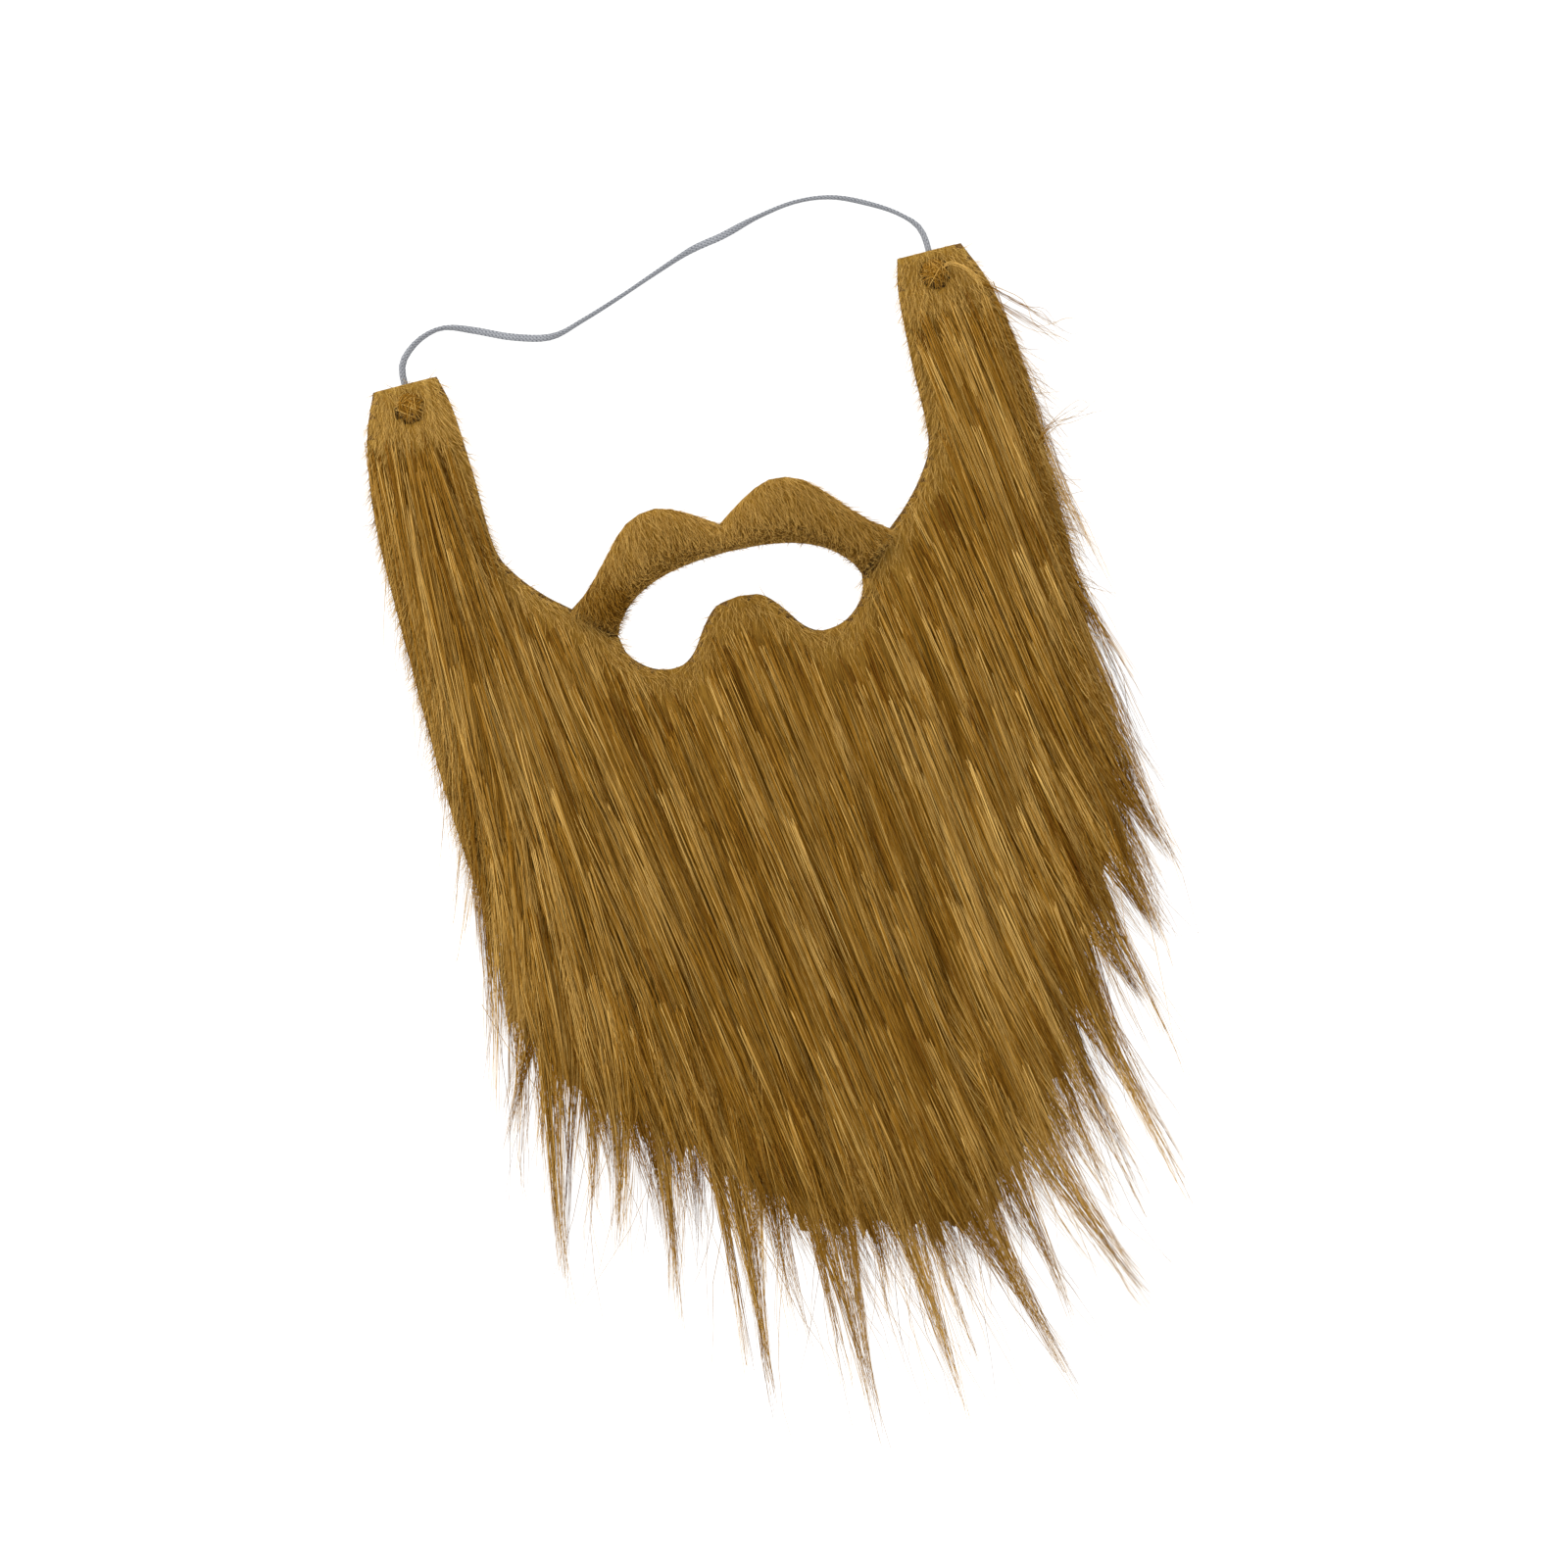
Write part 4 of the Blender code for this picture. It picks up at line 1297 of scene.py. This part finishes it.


# What a body tells its nap at each point: how densely it grows, which way it lies, and the light and shade
# painted on it
def napLayers(work):
    layers = work.verts.layers
    return layers.float.new("nap"), layers.float_vector.new("comb"), layers.float.new("paintedShading")


# A closed body from the grid of heights, lower than the strands and without the fringe
def makeUndercoat(values):
    heights, inside = heightGrid["heights"], heightGrid["inside"].copy()
    rows, columns = heights.shape
    step = heightGrid["step"]
    leaveX = [onPattern(row[1] * lockValues["halfWidth"], 0).x for row in lockValues["rows"]]
    leaveY = [onPattern(0, -row[2] * lockValues["hairDrop"]).y for row in lockValues["rows"]]
    for column in range(columns):
        x = heightGrid["x"] + column * step
        between = min(abs(x - middle) for middle in leaveX) / (leaveX[1] - leaveX[0]) * 2
        limit = float(np.interp(x, leaveX, leaveY)) + values["fringeInset"]
        limit += values["scallop"] * min(1.0, between) ** 2
        for row in range(rows):
            if heightGrid["y"] + row * step < limit:
                inside[row, column] = False
    # The hollows round the knots don't part the nap as an edge does.
    whole = inside.copy()
    for node in ("knot_left", "knot_right"):
        low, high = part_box(node)
        left, right = (int((corner[0] - heightGrid["x"]) / step) for corner in (low, high))
        lowest, highest = (int((corner[1] - heightGrid["y"]) / step) for corner in (low, high))
        whole[lowest - 2:highest + 4, left - 2:right + 4] = True
    distance, slopeX, slopeY = napField(whole)
    share = np.clip(distance / values["edgeRun"], 0, 1)
    cells = inside[:-1, :-1] & inside[1:, :-1] & inside[:-1, 1:] & inside[1:, 1:]
    work = bmesh.new()
    nap, comb, paintedShading = napLayers(work)
    tops, bottoms = {}, {}
    for row, column in zip(*np.nonzero(cells)):
        for r, c in ((row, column), (row, column + 1), (row + 1, column + 1), (row + 1, column)):
            if (r, c) in tops:
                continue
            x, y = heightGrid["x"] + c * step, heightGrid["y"] + r * step
            inner = heights[r, c] * values["share"]
            top = values["edgeHeight"] + (inner - values["edgeHeight"]) * share[r, c]
            onCloth = topOf(backingSolid, x, y)
            low = (onCloth + 0.0003) if onCloth else floorGap
            top += 0.0005 * noise(Vector((x * 400, y * 60, 0)))
            high = max(top, low + 0.0006)
            if y < topY - 0.2 and not inside[max(0, r - 1), c]:
                # Along the fringe the edge runs out in thin points.
                y -= values["tooth"] * (0.5 + 0.5 * noise(Vector((x * 900, 3.0, 0)))) ** 1.5 * (c % 2)
                high = low + 0.0006
            outward = Vector((-slopeX[r, c], -slopeY[r, c], 0.0))
            if outward.length > 1e-4:
                outward.normalize()
            if y > topY - 0.2 and distance[r, c] < 1.5 * step:
                run = toOutline(x, y, outward, values)
                x += outward.x * run
                y += outward.y * run
            vertex = work.verts.new((x, y, high))
            tops[(r, c)] = vertex
            bottoms[(r, c)] = work.verts.new((x, y, low))
            nearEdge = max(0.0, 1.0 - distance[r, c] / values["napWidth"])
            clipped = 1.0 if y > topY - values["clippedTop"] else 0.0
            belowFringe = y < topY - 0.2
            vertex[nap] = 0.0 if belowFringe else max(clipped, min(1.0, nearEdge * 1.5))
            vertex[comb] = outward * nearEdge ** 2 * 0.7 + Vector((0.0, -0.6, 0.3))
            # Painted light: lighter near the edge and on the clipped tops, which lifts the shade between the
            # bristles.
            vertex[paintedShading] = 0.14 * nearEdge + 0.1 * clipped
    for row, column in zip(*np.nonzero(cells)):
        corners = ((row, column), (row, column + 1), (row + 1, column + 1), (row + 1, column))
        work.faces.new([tops[k] for k in corners])
        work.faces.new([bottoms[k] for k in reversed(corners)])
        sides = ((0, 1, -1, 0), (1, 2, 0, 1), (2, 3, 1, 0), (3, 0, 0, -1))
        for first, second, downward, sideways in sides:
            r, c = row + downward, column + sideways
            outside = not (0 <= r < cells.shape[0] and 0 <= c < cells.shape[1]) or not cells[r, c]
            if outside:
                a, b = corners[first], corners[second]
                work.faces.new((tops[b], tops[a], bottoms[a], bottoms[b]))
    bmesh.ops.recalc_face_normals(work, faces=work.faces)
    return finishPiece("undercoat", work, undercoatFinish)


undercoat = makeUndercoat(undercoatValues)
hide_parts("beard")
print("undercoat", len(undercoat.data.polygons), "faces")

# The moustache's body

moustacheValues = {
    "halfWidth": 0.05,
    "rimLight": 0.22,  # how much paler a painted highlight makes the clipped rim
    "endShade": 0.7,  # how much painted shade darkens the two ends
    "shadowPlace": (-0.036, -0.0805),  # a painted shadow beside the left end, where it meets the cheek
    "shadowReach": 0.007,
    "shadowDepth": 0.35,
}


# The solid itself, with what its nap needs: combed down and a little outwards
def makeMoustache(values):
    work = bmesh.new()
    work.from_mesh(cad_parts["moustache"].data)
    bmesh.ops.remove_doubles(work, verts=work.verts, dist=1e-6)
    nap, comb, paintedShading = napLayers(work)
    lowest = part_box("moustache")[0][2]
    for vertex in work.verts:
        vertex[nap] = 1.0 if vertex.co.z > lowest + 0.0002 else 0.35
        normal = vertex.normal
        # Along the lip the nap stands up, so that the opening keeps a clean edge.
        lip = min(1.0, max(0.0, -normal.y) * 2.4)
        upper = max(0.0, normal.y)
        vertex[comb] = Vector((normal.x * 0.4 + 0.1, upper * 0.5 - 0.7 * (1 - lip), 0.28 + 0.3 * lip))
        # Painted shade darkens the ends, which lie in the shade of the cheeks, and a painted shadow darkens a
        # patch beside the left end; a painted highlight makes the clipped rim paler.
        across = (vertex.co.x - middleX) / values["halfWidth"]
        rim = 1.0 - abs(normal.z)
        corner = (vertex.co.xy - onPattern(*values["shadowPlace"])).length / values["shadowReach"]
        vertex[paintedShading] = values["rimLight"] * rim - values["endShade"] * max(0.0, abs(across) - 0.6)
        vertex[paintedShading] -= values["shadowDepth"] * math.exp(-corner * corner)
    return finishPiece("moustache_pile", work, clippedUndercoat)


moustachePile = makeMoustache(moustacheValues)
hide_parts("moustache")

# The short nap


# Bent, tapering bristles on a body: "nap" says how densely, and "comb" which way they lie
def napTree(name, material):
    tree, given = geometryTree(name, (
        ("Density", "NodeSocketFloat", 3000000.0),
        ("Shortest", "NodeSocketFloat", 0.002),
        ("Longest", "NodeSocketFloat", 0.004),
        ("Thickness", "NodeSocketFloat", 0.06),
        ("Bend", "NodeSocketFloat", 0.25),
        ("Tone", "NodeSocketFloat", 0.55),
        ("Seed", "NodeSocketInt", 1),
    ))
    points = addNode(tree, "GeometryNodeDistributePointsOnFaces", {
        "Mesh": given.outputs["Geometry"],
        "Density": calculate(tree, "MULTIPLY", storedValue(tree, "nap"), given.outputs["Density"]),
        "Seed": given.outputs["Seed"],
    }, distribute_method="RANDOM")
    half = calculate(tree, "MULTIPLY", given.outputs["Thickness"], 0.5)
    bristle = addNode(tree, "GeometryNodeMeshCone", {
        "Vertices": 3,
        "Side Segments": 2,
        "Radius Top": calculate(tree, "MULTIPLY", half, 0.25),
        "Radius Bottom": half,
        "Depth": 1.0,
    }, fill_type="NGON")
    position = tree.nodes.new("GeometryNodeInputPosition").outputs[0]
    way = addNode(tree, "ShaderNodeSeparateXYZ", {0: position}).outputs[2]
    bent = calculate(tree, "MULTIPLY", calculate(tree, "POWER", way, 2.0), given.outputs["Bend"])
    aside = addNode(tree, "ShaderNodeCombineXYZ", {0: bent})
    curved = addNode(tree, "GeometryNodeSetPosition", {
        "Geometry": bristle.outputs["Mesh"], "Offset": aside.outputs[0],
    })
    stray = chance(tree, given, (-0.2, -0.2, -0.12), (0.2, 0.2, 0.2), 7, vector=True)
    turned = addNode(tree, "FunctionNodeAlignRotationToVector", {
        "Rotation": chance(tree, given, (0.0, 0.0, 0.0), (0.0, 0.0, 6.283), 13, vector=True),
        "Vector": combinedVector(tree, "ADD", storedValue(tree, "comb", "FLOAT_VECTOR"), stray),
    }, axis="Z")
    placed = addNode(tree, "GeometryNodeInstanceOnPoints", {
        "Points": points.outputs["Points"],
        "Instance": storeNumber(tree, curved.outputs[0], "way", way),
        "Rotation": turned.outputs[0],
        "Scale": chance(tree, given, given.outputs["Shortest"], given.outputs["Longest"], 19),
    })
    # The body's painted light and shade carry over onto the bristles' tone.
    tone = calculate(tree, "ADD", given.outputs["Tone"], storedValue(tree, "paintedShading"))
    tone = calculate(tree, "ADD", tone, chance(tree, given, -0.17, 0.17, 29))
    finishTree(tree, storeNumber(tree, placed.outputs[0], "tone", tone, "INSTANCE"), material)
    return tree


napPattern = napTree("shortNap", clippedHair)
napValues = {
    "edge_nap": {
        "Density": 1650000.0, "Shortest": 0.0028, "Longest": 0.0052,
        "Thickness": 0.042, "Bend": 0.15, "Tone": 0.8, "Seed": 3,
    },
    "moustache_nap": {
        "Density": 2600000.0, "Shortest": 0.0028, "Longest": 0.0048,
        "Thickness": 0.05, "Bend": 0.15, "Tone": 0.78, "Seed": 9,
    },
}
napPieces = []
for name, body in (("edge_nap", undercoat), ("moustache_nap", moustachePile)):
    piece = grown(name, addObject(name + "_source", body.data.copy()), napPattern, napValues[name])
    napPieces.append(piece)
    print(name, len(piece.data.polygons), "faces")

for piece in [undercoat, *hairPieces]:
    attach(piece, "root")
for piece in [moustachePile, *napPieces]:
    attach(piece, "root")
